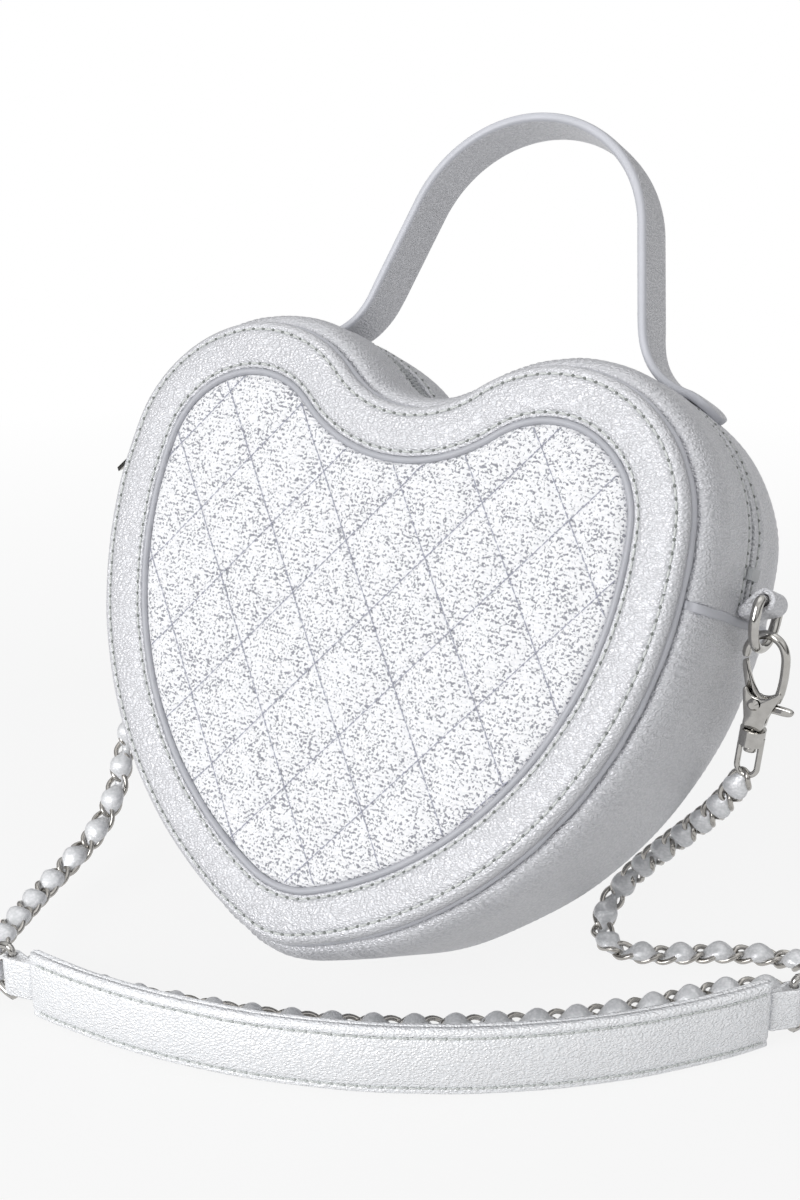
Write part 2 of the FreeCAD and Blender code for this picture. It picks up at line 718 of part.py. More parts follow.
# Swivel hook, drawn with the swivel axis along Z and the flat of the hook in XZ
def hook(label):
    body = new_body(label)
    path = new_sketch(body, "bow_path", "XZ_Plane")
    nose = "hook_bow_height - hook_nose"
    draw_path(path, [("hook_bow", "hook_slot_top"), ("hook_bow", "hook_bow_height", "hook_bow"),
                     ("-hook_bow", "hook_bow_height"), ("-hook_bow", nose)], closed=False)
    section = new_sketch(body, "bow_section", "XY_Plane", "hook_slot_top")
    draw_circle(section, "hook_bow", "0", "hook_wire")
    pipe(body, section, path)
    plate = new_sketch(body, "plate", "XZ_Plane")
    outer = "hook_bow + hook_wire"
    draw_path(plate, [("-hook_body_width / 2", "hook_body_top"), ("-hook_foot_width / 2", "-hook_body_low"),
                      ("hook_foot_width / 2", "-hook_body_low"), (outer, "hook_slot_top"),
                      (outer, "hook_body_top")])
    pad(body, plate, "hook_thickness", middle=True)
    post = new_sketch(body, "post", "XZ_Plane")
    collar_low = "-(hook_body_low + 2 * collar_gap + collar_height)"
    end = "%s - post_head_height" % collar_low
    start = "-hook_body_low + collar_gap"
    draw_path(post, [("0", end), ("post_head", end), ("post_head", collar_low), ("post_radius", collar_low),
                     ("post_radius", start), ("0", start)])
    turn(body, post)
    slot = new_sketch(body, "slot", "XZ_Plane")
    far_left = "-hook_body_width"
    far_right = "2 * hook_bow"
    middle = "hook_bow - hook_wire - sewing_gap"
    above = "hook_body_top + hook_wire"
    step = "hook_slot_top - sewing_gap"
    draw_path(slot, [(far_left, "-hook_slot_low"), (far_right, "-hook_slot_low"), (far_right, step),
                     (middle, step), (middle, above), (far_left, above)])
    pocket(body, slot, "hook_slot")
    hole = new_sketch(body, "pivot_hole", "XZ_Plane")
    draw_circle(hole, "-pivot_side", "-pivot_rise", "pivot_radius + pivot_fit")
    pocket(body, hole, "2 * hook_thickness")
    return body


# Rivet that the gate turns on, drawn along Y through the origin
def hook_pivot(label):
    body = new_body(label)
    section = new_sketch(body, "section", "XY_Plane")
    face = "hook_thickness / 2 + pivot_fit"
    crown = "%s + pivot_head / 2" % face
    draw_path(section, [("0", "-(%s)" % crown), ("pivot_radius", "-(%s)" % crown),
                        ("pivot_head", "-(%s)" % face), ("pivot_radius", "-(%s)" % face),
                        ("pivot_radius", face), ("pivot_head", face), ("pivot_radius", crown), ("0", crown)])
    turn(body, section)
    return body


# Sprung gate with its thumb lever, drawn with the pivot at the origin
def hook_gate(label):
    body = new_body(label)
    outline = new_sketch(body, "outline", "XZ_Plane")
    tip_height = "hook_bow_height - hook_nose + pivot_rise - gate_gap"
    tip_side = "-hook_bow + pivot_side"
    boss = "2.4 * pivot_radius"
    arm = "hook_wire / 2"
    tip_inside = ("%s + %s" % (tip_side, arm), tip_height)
    tip_outside = ("%s - %s" % (tip_side, arm), "%s - gate_bevel" % tip_height)
    draw_path(outline, [("-(%s)" % boss, "-pivot_radius"), ("0", "-(%s)" % boss),
                        ("gate_reach", "-(%s) / 2" % boss), ("gate_reach + pivot_radius", "0"),
                        ("gate_reach", "pivot_radius"), ("%s / 2" % boss, "pivot_radius"),
                        tip_inside, tip_outside])
    draw_circle(outline, "0", "0", "pivot_radius + pivot_fit")
    pad(body, outline, "gate_thickness", middle=True)
    return body


# Collar and wire eye that the hook swivels in
def swivel_eye(label):
    body = new_body(label)
    section = new_sketch(body, "section", "XZ_Plane")
    top = "-(hook_body_low + collar_gap)"
    low = "%s - collar_height" % top
    bore = "post_radius + pivot_fit"
    draw_path(section, [(bore, low), ("collar_radius", low), ("collar_radius", top), (bore, top)])
    turn(body, section)
    path = new_sketch(body, "loop_path", "XZ_Plane")
    start = "%s + collar_height / 2" % low
    bend = "%s - eye_drop + eye_half_width" % low
    draw_path(path, [("eye_half_width", start), ("eye_half_width", bend, "-eye_half_width"),
                     ("-eye_half_width", bend), ("-eye_half_width", start)], closed=False)
    wire = new_sketch(body, "loop_section", "XY_Plane", start)
    draw_circle(wire, "eye_half_width", "0", "eye_wire")
    pipe(body, wire, path)
    return body


# One layer of the shoulder pad, drawn about the axis of its bow
def pad_strip(label, inner, outer):
    body = new_body(label)
    section = new_sketch(body, "section", "XZ_Plane")
    draw_path(section, [(inner, "0"), (outer, "0"), (outer, "pad_height"), (inner, "pad_height")])
    turn(body, section, "pad_length / pad_bow_radius * 180 / pi")
    return body


# Straight runs joined by tangent arcs, swept with a round section
def cord_tube(label, points, width):
    bends = []
    edges = []
    place = points[0]
    for before, corner, after in zip(points, points[1:], points[2:]):
        toward, away = (before - corner), (after - corner)
        shorter = min(toward.Length, away.Length)
        half_turn = (math.pi - toward.getAngle(away)) / 2
        trim = 0.45 * shorter
        start = corner + toward.normalize() * trim
        finish = corner + away.normalize() * trim
        radius = trim / math.tan(half_turn)
        inward = (toward + away).normalize()
        crest = corner + inward * (radius / math.cos(half_turn) - radius)
        edges.append(Part.LineSegment(place, start).toShape())
        edges.append(Part.Arc(start, crest, finish).toShape())
        bends.append(radius)
        place = finish
    edges.append(Part.LineSegment(place, points[-1]).toShape())
    path = Part.Wire(edges)
    first = points[1] - points[0]
    section = Part.Wire(Part.makeCircle(width / 2, points[0], first))
    tube = doc.addObject("Part::Feature", label)
    tube.Label = label
    tube.Shape = path.makePipeShell([section], True, False)
    expected = math.pi * (width / 2)**2 * path.Length
    ratio = tube.Shape.Volume / expected
    bend_list = " ".join("%.1f" % bend for bend in bends)
    print("%s: length %.1f, volume ratio %.4f, bends %s" % (label, path.Length, ratio, bend_list))
    return tube


front_panel()
rear_panel()
gusset()
lining_bands()
zip_rows()
zip_stops()
side_seams()

outline_sizes = heart(0)
lobe_x = outline_sizes["lobe_side"]
lobe_z = outline_sizes["lobe_height"]
depth = value("bag_depth")
lean = math.radians(value("lean_angle"))


# Moves a piece drawn in its own frame to its place on the leaning bag
def stance(lift):
    tilt = Rotation(right, -value("lean_angle"))
    heel = tilt.multVec(Vector(0, depth, 0))
    return Placement(Vector(0, 0, lift) - heel, tilt)


doc.recompute()
level = Placement(stance(0))
lowest = 0
for item in bag_bodies:
    leaning = item.Shape.copy()
    leaning.Placement = level.multiply(leaning.Placement)
    lowest = min(lowest, leaning.optimalBoundingBox(False).ZMin)
bag_stance = stance(-lowest)
bag_back = bag_stance.Rotation.multVec(back)
for item in bag_bodies:
    item.Placement = bag_stance.multiply(item.Placement)

# Points and axes that pieces turn about, or are held at
rear_middle = Vector(0, value(rear_face), value("bag_height") / 2)
joint_points = {"rear_face": (bag_stance.multVec(rear_middle), bag_back)}

# Zip slider and pull
slider, hole_radius = zip_slider()
lobe_axis = Placement(Vector(-lobe_x, depth / 2, lobe_z), Rotation(back, -value("slider_rest_angle")))
slider.Placement = bag_stance.multiply(lobe_axis)
pull = zip_pull()
pin_place = lobe_axis.multVec(Vector(hole_radius, 0, 0))
pull.Placement = bag_stance.multiply(Placement(pin_place, Rotation(back, 180 - value("pull_droop_angle"))))
joint_points["zip_slider"] = (bag_stance.multVec(lobe_axis.Base), bag_back)
joint_points["zip_pull"] = (pull.Placement.Base, bag_back)

# Handle and its tabs
strap = handle()
setback = value("handle_setback")
strap.Placement = bag_stance.multiply(Placement(Vector(0, setback, 0), Rotation()))
handle_axis = Vector(0, setback, value("%s + handle_width / 2" % handle_end_height()))
joint_points["handle"] = (bag_stance.multVec(handle_axis), right)
for label, side in (("handle_tab_right", 1), ("handle_tab_left", -1)):
    tab = handle_tab(label)
    lean_out = -90 + side * value("handle_tab_angle")
    lobe_middle = Vector(side * lobe_x, setback, lobe_z)
    tab.Placement = bag_stance.multiply(Placement(lobe_middle, Rotation(back, lean_out)))

# Side tabs, rings, hooks and eyes
fold_x = value("bag_width / 2 + bulge + ring_tab_reach")
fold_z = value("%s + ring_tab_rise" % seam_level)
bow_radius = value("(ring_tab_width + 2 * ring_play) / 2 + ring_corner")
bow_drop = value("ring_height") - bow_radius
seat = Vector(value("hook_seat_side"), 0, -value("hook_bow_height + hook_seat_rise"))
eye_low = value("hook_body_low + collar_gap + collar_height + eye_drop")
pivot = Vector(-value("pivot_side"), 0, -value("pivot_rise"))
end_x = "-(ring_tab_reach - ring_tab_leather - sewing_gap)"
end_y = "-(ring_tab_rise - ring_tab_leather - sewing_gap)"
eye_ends = {}
for side, hand in (("right", 1), ("left", -1)):
    about = Rotation() if hand > 0 else Rotation(up, 180)
    tab = folded_tab("ring_tab_" + side, "XZ_Plane", "ring_wire", "ring_play", "ring_tab_leather",
                     end_x, end_y, "ring_tab_width")
    ring_bar = "ring_tab_width + 2 * ring_play"
    ring = wire_ring("d_ring_" + side, "ring_wire", ring_bar, "ring_corner", "ring_height")
    fold = Vector(hand * fold_x, depth / 2, fold_z)
    tab.Placement = bag_stance.multiply(Placement(fold, about))
    ring.Placement = bag_stance.multiply(Placement(fold, about))
    hang = Vector(0, bow_radius * math.sin(lean), -bow_drop - bow_radius * math.cos(lean))
    ring_low = bag_stance.multVec(fold + hang)
    tilt = Rotation(back, hand * value("hook_tilt_angle")).multiply(about)
    hook_place = Placement(ring_low + tilt.multVec(seat), tilt)
    gate_place = hook_place.multiply(Placement(pivot, Rotation()))
    for piece in (hook("hook_" + side), swivel_eye("swivel_eye_" + side)):
        piece.Placement = hook_place
    for piece in (hook_pivot("hook_pivot_" + side), hook_gate("hook_gate_" + side)):
        piece.Placement = gate_place
    eye_ends[side] = hook_place.multVec(Vector(0, 0, -eye_low))
    joint_points["d_ring_" + side] = (bag_stance.multVec(fold), bag_back * -hand)
    joint_points["hook_" + side] = (hook_place.Base, hook_place.Rotation.multVec(up))
    joint_points["gate_" + side] = (gate_place.Base, hook_place.Rotation.multVec(back))

# Shoulder pad with its end tabs and rings
pad_axis = Vector(value("pad_centre_x"), value("pad_centre_y"), 0)
pad_place = Placement(pad_axis, Rotation(up, value("pad_facing_angle")))
layers = (("pad_face", "pad_bow_radius - pad_layer", "pad_bow_radius"),
          ("pad_backing", "pad_bow_radius - 2 * pad_layer", "pad_bow_radius - pad_layer"))
for label, inner, outer in layers:
    strip = pad_strip(label, inner, outer)
    strip.Placement = pad_place
ring_ends = {}
half_spread = value("pad_length / pad_bow_radius / 2 * 180 / pi")
pad_middle = value("pad_bow_radius - pad_layer")
pad_ring_bow = value("pad_tab_width / 2 + ring_play + pad_ring_corner")
pad_ring_bow_drop = value("pad_ring_height") - pad_ring_bow
strand_rise = value("chain_width / 2 + sewing_gap")
pad_tab_end = "-(pad_tab_length - pad_tab_leather - sewing_gap)"
for side, hand in (("right", 1), ("left", -1)):
    end_turn = Rotation(up, value("pad_facing_angle") + hand * half_spread)
    outward = Rotation(up, hand * 90).multiply(end_turn)
    end = pad_axis + end_turn.multVec(Vector(pad_middle, 0, value("pad_height") / 2))
    fold = end + outward.multVec(Vector(value("pad_tab_length"), 0, 0))
    tab = folded_tab("pad_tab_" + side, "XY_Plane", "pad_ring_wire", "ring_play", "pad_tab_leather",
                     pad_tab_end, "0", "pad_tab_width")
    tab.Placement = Placement(fold, outward)
    ring_bar = "pad_tab_width + 2 * ring_play"
    ring = wire_ring("pad_ring_" + side, "pad_ring_wire", ring_bar, "pad_ring_corner", "pad_ring_height")
    upright = Rotation(outward.multVec(Vector(0, 1, 0)), up, outward.multVec(Vector(-1, 0, 0)), "ZXY")
    ring.Placement = Placement(fold, upright)
    reach = pad_ring_bow_drop + math.sqrt(pad_ring_bow**2 - strand_rise**2)
    for strand, rise in (("upper", strand_rise), ("lower", -strand_rise)):
        ring_ends[side, strand] = fold + outward.multVec(Vector(reach, 0, rise))

# Chain routes over the floor, between the eyes of the hooks and the rings of the pad
routes = {
    "chain_right": [
        (101, 31, 67), (89, 39, 52), (76, 44, 37), (64.5, 48, 22.5), (58, 46, 11.5), (59, 37.5, 5.2),
        (66, 31, 4.2), (76, 32.5, 4.2), (86, 39, 4.2), (96, 47, 4.2), (107, 53, 4.2), (119, 54, 5.7),
        (129, 48, 10.4),
    ],
    "chain_left": [
        (-112, 17, 69), (-112, 7, 54), (-108, -4, 40), (-104, -14, 29), (-103, -25, 20), (-104, -38, 14),
        (-102, -52, 12), (-97, -66, 12.5), (-91, -80, 14),
    ],
    "chain_middle": [
        (127, 38, 5), (118, 38, 4.4), (109, 32, 4.2), (100, 20, 4.2), (90, 7, 4.2), (78, -7, 4.2),
        (64, -20, 4.2), (48, -33, 4.2), (30, -45, 4.2), (10, -56, 4.2), (-12, -65, 4.2), (-34, -72, 4.2),
        (-54, -77, 4.4), (-69, -79, 4.8), (-80.5, -81.5, 5.8),
    ],
}
chain_ends = {
    "chain_right": (eye_ends["right"], ring_ends["right", "upper"]),
    "chain_left": (eye_ends["left"], ring_ends["left", "upper"]),
    "chain_middle": (ring_ends["right", "lower"], ring_ends["left", "lower"]),
}
for label, route in routes.items():
    start, finish = chain_ends[label]
    cord_tube(label, [start] + [Vector(*point) for point in route] + [finish], value("chain_width"))

doc.recompute()

# Check every object and write one file for each named piece
os.makedirs("parts", exist_ok=True)
inside = {piece for item in doc.Objects if item.TypeId == "Part::Compound" for piece in item.Links}
kinds = ("PartDesign::Body", "Part::Box", "Part::Compound", "Part::Feature")
for item in doc.Objects:
    if "Invalid" in item.State or "Error" in item.State:
        raise RuntimeError("%s did not build: %s" % (item.Label, item.State))
for item in doc.Objects:
    if item.TypeId in kinds and item not in inside:
        shape = item.Shape
        if shape.isNull() or not shape.isValid() or not shape.Solids:
            raise RuntimeError("%s has no sound solid" % item.Label)
        shape.exportStep("parts/%s.step" % item.Label)
        print("%-20s %9.1f mm3" % (item.Label, shape.Volume))
for name, (point, axis) in joint_points.items():
    print("turns about", name, *("%.3f" % number for number in (*point, *axis)))
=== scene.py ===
import bmesh
import bpy
import math
import random
from functools import partial
import numpy as np
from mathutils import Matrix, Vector


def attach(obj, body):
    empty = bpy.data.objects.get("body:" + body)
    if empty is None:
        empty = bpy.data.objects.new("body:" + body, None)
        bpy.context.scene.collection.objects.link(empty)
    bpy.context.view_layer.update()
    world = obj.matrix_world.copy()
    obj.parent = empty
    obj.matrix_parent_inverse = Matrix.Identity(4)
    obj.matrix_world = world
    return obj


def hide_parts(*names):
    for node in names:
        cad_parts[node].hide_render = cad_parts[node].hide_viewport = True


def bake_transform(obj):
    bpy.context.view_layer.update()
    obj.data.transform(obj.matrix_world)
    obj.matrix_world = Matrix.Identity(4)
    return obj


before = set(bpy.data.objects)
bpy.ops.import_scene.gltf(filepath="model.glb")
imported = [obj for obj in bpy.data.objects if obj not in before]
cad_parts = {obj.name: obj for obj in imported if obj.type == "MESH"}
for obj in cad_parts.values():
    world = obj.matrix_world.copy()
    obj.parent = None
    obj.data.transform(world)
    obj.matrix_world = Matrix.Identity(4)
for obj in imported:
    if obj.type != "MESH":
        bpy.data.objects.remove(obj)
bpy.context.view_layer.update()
mm = 0.001
fullTurn = 2 * math.pi
hands = (("Right", 1), ("Left", -1))
scene = bpy.context.scene
scene.view_settings.view_transform = "Standard"
print("frame loaded")

# camera, at the photograph's angle; millimetres and degrees
photoCamera = {"place": (272.7, -402.6, 310.4), "turn": 33.58, "down": 21.36, "lens": 51.63, "film": 36}


def setCamera():
    data = bpy.data.cameras.new("photoCamera")
    data.sensor_fit = "VERTICAL"
    data.sensor_height = photoCamera["film"]
    data.lens = photoCamera["lens"]
    eye = bpy.data.objects.new("photoCamera", data)
    scene.collection.objects.link(eye)
    eye.location = Vector(photoCamera["place"]) * mm
    eye.rotation_euler = (math.radians(90 - photoCamera["down"]), 0, math.radians(photoCamera["turn"]))
    scene.camera = eye


setCamera()

# the bag as it was drawn before it leaned back, millimetres; a panel's mesh is rings that shrink to ringEnd
bag = {"width": 197.8, "height": 183, "depth": 65, "lobe": 46, "drop": 11.8, "notch": 19, "tip": 26,
       "windowTip": 30, "lean": 26, "lift": 1.888, "middle": (0.0, 105.0), "ringEnd": 0.0005}
lobeHeight = bag["height"] - bag["lobe"]
seamLevel = lobeHeight - bag["drop"]


# colours are written as they look on screen
def linear(hexColour):
    parts = [int(hexColour[at:at + 2], 16) / 255 for at in (1, 3, 5)]
    return [part / 12.92 if part <= 0.04045 else ((part + 0.055) / 1.055) ** 2.4 for part in parts] + [1]


# bag millimetres to metres on the floor
def stand(points):
    x, y, z = np.moveaxis(np.asarray(points, float), -1, 0)
    angle = math.radians(bag["lean"])
    behind = y - bag["depth"]
    back = behind * math.cos(angle) + z * math.sin(angle)
    high = z * math.cos(angle) - behind * math.sin(angle) + bag["lift"]
    return np.stack([x, back, high], -1) * mm


# the same from three arrays or numbers
def bagPoints(x, y, z):
    return stand(np.stack(np.broadcast_arrays(x, y, z), -1))


# a direction of the bag, leaned back with it
def leaned(x, y, z):
    return (bagPoints(x, y, z) - stand((0, 0, 0))) / mm


# MATERIALS

# adds a node: a setting that is a node or an output gets linked, any other goes to a property or a socket
def addNode(tree, kind, settings=()):
    node = tree.nodes.new("ShaderNode" + kind)
    for key, setting in dict(settings).items():
        if isinstance(setting, bpy.types.Node):
            tree.links.new(setting.outputs[0], node.inputs[key])
        elif isinstance(setting, bpy.types.NodeSocket):
            tree.links.new(setting, node.inputs[key])
        elif isinstance(key, str) and hasattr(node, key):
            setattr(node, key, setting)
        else:
            node.inputs[key].default_value = setting
    return node


# an empty material, what adds nodes to it, and the place on the object that its patterns go by
def newMaterial(name):
    material = bpy.data.materials.new(name)
    material.use_nodes = True
    material.node_tree.nodes.clear()
    add = partial(addNode, material.node_tree)
    return material, add, add("TexCoord").outputs["Object"]


# PU leather embossed with a fine pebble and given a pearl coat: soft bright sheen, with painted shade
# darkening the creases between pebbles
def pebbledPearlLeather(name, light, creaseShade, pebble=0.7, relief=0.3):
    material, add, place = newMaterial(name)
    warp = add("TexNoise", {"Vector": place, "Scale": 1 / (2.6 * mm), "Detail": 2})
    shift = add("VectorMath", {0: warp.outputs["Color"], "operation": "SCALE", "Scale": 1.3 * mm})
    bent = add("VectorMath", {0: place, 1: shift, "operation": "ADD"})
    # pebbles lie a little longer across the bag than up it
    grain = add("Mapping", {"Vector": bent, "Scale": (0.74, 0.74, 1.15)})
    cells = add("TexVoronoi", {"Vector": grain, "feature": "SMOOTH_F1", "Scale": 1 / (pebble * mm),
                               "Smoothness": 0.3})
    dome = add("MapRange", {"Value": cells, "From Min": 0.75, "From Max": 0.15})
    wrinkle = add("TexNoise", {"Vector": grain, "Scale": 1 / (1.05 * mm), "Detail": 2, "Distortion": 0.8})
    height = add("Math", {0: wrinkle, 2: dome, "operation": "MULTIPLY_ADD", 1: 0.4})
    broad = add("TexNoise", {"Vector": place, "Scale": 1 / (22 * mm), "Detail": 2})
    blotch = add("MapRange", {"Value": broad, "From Min": 0.3, "From Max": 0.7, "To Min": 0.88,
                              "To Max": 1.0})
    # painted shade: the creases between the pebble domes take the darker crease colour; the broad blotch is
    # the leather's own uneven tone
    shadeAndTone = add("Math", {0: dome, 1: blotch, "operation": "MULTIPLY"})
    colour = add("Mix", {0: shadeAndTone, "data_type": "RGBA", 6: linear(creaseShade), 7: linear(light)})
    rough = add("MapRange", {"Value": shadeAndTone, "To Min": 0.5, "To Max": 0.34})
    bump = add("Bump", {"Height": height, "Strength": 0.85, "Distance": relief * mm})
    shader = add("BsdfPrincipled", {"Base Color": colour.outputs[2], "Roughness": rough, "Normal": bump,
                                    "Metallic": 0.34, "IOR": 1.45, "Coat Weight": 0.05,
                                    "Coat Roughness": 0.35})
    add("OutputMaterial", {"Surface": shader})
    return material


# woven wool-blend tweed: chalk white slubs in rows, broken by short light and dark grey flecks
def fleckedTweed():
    material, add, place = newMaterial("fleckedTweed")
    level = add("Mapping", {"Vector": place, "Rotation": (math.radians(bag["lean"]), 0, 0)})
    sway = add("TexNoise", {"Vector": level, "Scale": 1 / (4 * mm), "Detail": 2})
    shift = add("VectorMath", {0: sway.outputs["Color"], "operation": "SCALE", "Scale": 0.9 * mm})
    bent = add("VectorMath", {0: level, 1: shift, "operation": "ADD"})
    axes = add("SeparateXYZ", {0: bent})
    # weft rows 1.4 mm apart, with specks of grey fibre under 1 mm long lying along them
    upward = add("Math", {0: axes.outputs["Z"], "operation": "MULTIPLY", 1: 1 / (1.4 * mm)})
    rowTurn = add("Math", {0: upward, "operation": "MULTIPLY", 1: fullTurn})
    rowWave = add("Math", {0: rowTurn, "operation": "SINE"})
    stretch = add("Mapping", {"Vector": bent, "Scale": (1 / (0.82 * mm), 1 / (0.8 * mm), 1 / (0.7 * mm))})
    fibre = add("TexNoise", {"Vector": stretch, "Scale": 1.0, "Detail": 1.0, "Roughness": 0.5,
                             "Distortion": 0.5})
    inRow = add("Math", {0: rowWave, 2: fibre, "operation": "MULTIPLY_ADD", 1: 0.045})
    patches = add("TexNoise", {"Vector": level, "Scale": 1 / (5 * mm), "Detail": 2})
    crowd = add("Math", {0: patches, 2: inRow, "operation": "MULTIPLY_ADD", 1: 0.2})
    mark = add("MapRange", {"Value": crowd, "From Min": 0.645, "From Max": 0.725, "To Max": 0.95})
    greys = add("TexNoise", {"Vector": level, "Scale": 1 / (1.2 * mm), "Detail": 1})
    slub = add("TexNoise", {"Vector": bent, "Scale": 1 / (0.7 * mm), "Detail": 3})
    white = add("Mix", {0: slub, "data_type": "RGBA", 6: linear("#e4e5ea"), 7: linear("#ffffff")})
    fleck = add("Mix", {0: greys, "data_type": "RGBA", 6: linear("#acaeb6"), 7: linear("#686a72")})
    colour = add("Mix", {0: mark, 6: white.outputs[2], 7: fleck.outputs[2], "data_type": "RGBA"})
    yarn = add("Math", {0: slub, 2: rowWave, "operation": "MULTIPLY_ADD", 1: 2.2})
    bump = add("Bump", {"Height": yarn, "Strength": 0.6, "Distance": 0.22 * mm})
    shader = add("BsdfPrincipled", {"Base Color": colour.outputs[2], "Normal": bump, "Roughness": 0.92,
                                    "IOR": 1.45, "Sheen Weight": 0.2, "Sheen Roughness": 0.5})
    add("OutputMaterial", {"Surface": shader})
    return material


# plain woven polyester, for the lining and the zip tapes: flat grey with thread rows
def plainWeave(name, light, dark, thread):
    material, add, place = newMaterial(name)
    size = {"Scale": 1 / (20 * thread * mm), "Distortion": 0.6}
    rows, columns = [add("TexWave", {"Vector": place, "bands_direction": way, **size}) for way in ("Y", "X")]
    over = add("Math", {0: rows.outputs["Fac"], 1: columns.outputs["Fac"], "operation": "MULTIPLY"})
    colour = add("Mix", {0: over, "data_type": "RGBA", 6: linear(dark), 7: linear(light)})
    bump = add("Bump", {"Height": over, "Strength": 0.5, "Distance": 0.12 * mm})
    shader = add("BsdfPrincipled", {"Base Color": colour.outputs[2], "Normal": bump, "Roughness": 0.8,
                                    "IOR": 1.5})
    add("OutputMaterial", {"Surface": shader})
    return material


# a surface with a cloud of two tones; its finest grain also moves the polish and the relief
def cloudedSurface(name, light, dark, kind):
    material, add, place = newMaterial(name)
    noises = [add("TexNoise", {"Vector": place, "Scale": 1 / (size * mm), "Detail": detail})
              for size, detail in kind["grains"]]
    cloud, grain = noises[0], noises[-1]
    colour = add("Mix", {0: cloud, "data_type": "RGBA", 6: linear(dark), 7: linear(light)})
    links = {"Base Color": colour.outputs[2]}
    if "rough" in kind:
        rough = add("MapRange", {"Value": grain, "To Min": kind["rough"][0], "To Max": kind["rough"][1]})
        links["Roughness"] = rough
    if "relief" in kind:
        bump = add("Bump", {"Height": grain, "Strength": kind["relief"][0],
                            "Distance": kind["relief"][1] * mm})
        links["Normal"] = bump
    shader = add("BsdfPrincipled", {**kind["shader"], **links})
    add("OutputMaterial", {"Surface": shader})
    return material


# clouded surfaces: mm and detail of each grain, range of roughness, strength and mm of relief
# smooth PU leather skived thin and rolled over cord: even silver grey with faint stretch marks
rolledTrim = {"grains": ((14, 3), (0.8, 4)), "rough": (0.5, 0.64), "relief": (0.3, 0.06),
              "shader": {"Metallic": 0.12, "IOR": 1.45}}
# twisted polyester sewing thread: dull grey with a fine lay
polyesterThread = {"grains": ((0.35, 2),), "relief": (0.4, 0.08), "shader": {"Roughness": 0.6, "IOR": 1.5}}
# pressed grey board: dull, with specks of fibre
pressedBoard = {"grains": ((1.2, 5),), "relief": (0.3, 0.1), "shader": {"Roughness": 0.9, "IOR": 1.45}}
# moulded nylon coil: pale grey, slightly glossy
mouldedNylon = {"grains": ((4, 3),), "shader": {"Roughness": 0.38, "IOR": 1.53}}
# zinc casting, polished and nickel plated: bright mirror with hazy handling marks
nickelPlate = {"grains": ((2.5, 4),), "rough": (0.07, 0.16), "shader": {"Metallic": 1.0}}
# steel wire, tumbled and nickel plated: a little duller than the castings
nickelWire = {"grains": ((2.5, 4),), "rough": (0.1, 0.22), "shader": {"Metallic": 1.0}}

# the second colour of each pebbled leather is the painted shade in its creases
silverLeather = pebbledPearlLeather("pebbledPearlLeather", "#dddde1", "#cacbcf")
# painted light: the shoulder pad and its loops are the bag's own leather in lighter colours, standing in for
# the brighter light on them
padLitLeather = pebbledPearlLeather("padLitPearlLeather", "#fafafc", "#eceef1")
laceLeather = pebbledPearlLeather("laceLeather", "#ececef", "#d6d8da", pebble=0.8, relief=0.05)
trimLeather = cloudedSurface("rolledTrimLeather", "#cccdd4", "#c0c2c8", rolledTrim)
# painted shade: the rolled trim leather in darker colours, standing in for the shadow line where the window's
# edge turns in
shadedRollLeather = cloudedSurface("shadedTurnedEdgeLeather", "#b8b9bf", "#a9abb1", rolledTrim)
tweed = fleckedTweed()
seamThread = cloudedSurface("seamThread", "#dfe1e0", "#b9bdbb", polyesterThread)
# painted shade: the needle holes are bars coloured grey for the shade inside them, paler on the pad
needleHoleShade = cloudedSurface("needleHoleShade", "#8d918e", "#6c706d", polyesterThread)
padHoleShade = cloudedSurface("padHoleShade", "#c3c7c5", "#a9adab", polyesterThread)
quiltThread = cloudedSurface("quiltThread", "#b7b9c6", "#9496a6", polyesterThread)
liningCloth = plainWeave("liningCloth", "#7d7d82", "#5e5e63", thread=0.35)
zipTapeCloth = plainWeave("zipTapeCloth", "#d3d5da", "#b6b9be", thread=0.4)
board = cloudedSurface("greyBoard", "#b3ada3", "#8d867d", pressedBoard)
coilNylon = cloudedSurface("nylonCoil", "#c3c5c7", "#a5a8aa", mouldedNylon)
nickel = cloudedSurface("polishedNickel", "#c3c1be", "#a19f9b", nickelPlate)
chainNickel = cloudedSurface("chainNickel", "#bfbcb8", "#9a9792", nickelWire)
print("materials made")


# SHARED SHAPES

def unit(vectors):
    return vectors / np.linalg.norm(vectors, axis=-1, keepdims=True)


# angles evenly round a circle
def roundTurn(count):
    return np.arange(count) * fullTurn / count


# a cosine or sine pressed toward a square section
def squared(value, power):
    return math.copysign(abs(value) ** power, value)


# distance gone at each point of a line
def runAlong(line):
    return np.concatenate([[0], np.cumsum(np.linalg.norm(np.diff(line, axis=0), axis=1))])


# points or directions between those of a line, at places along its run
def readOff(places, run, points):
    return np.stack([np.interp(places, run, points[:, axis]) for axis in range(3)], -1)


# a ring's points with the first one again at the end
def shut(line):
    return np.vstack([line, line[:1]])


# a groove or ridge: full height at its middle, falling to nothing at its sides
def bell(distance, height, wide):
    return height * np.exp(-(distance / wide) ** 2)


# rounded rise from 0 to 1 over a distance, like a sewn edge filling out
def swell(distance, reach, power=2.2):
    part = np.clip(np.asarray(distance, float) / reach, 0, 1)
    return (1 - (1 - part) ** power) ** (1 / power)


# soft irregular wave along a length, from a few sines: about size each way, waves from shortest to longest
def ripple(length, seed, size, shortest, longest, waves=5, loudest=2.6):
    dice = random.Random(seed)
    total = np.zeros_like(np.asarray(length, float))
    for wave in range(waves):
        span = dice.uniform(shortest, longest)
        total += np.sin(length * fullTurn / span + dice.uniform(0, fullTurn))
    return size * total / loudest


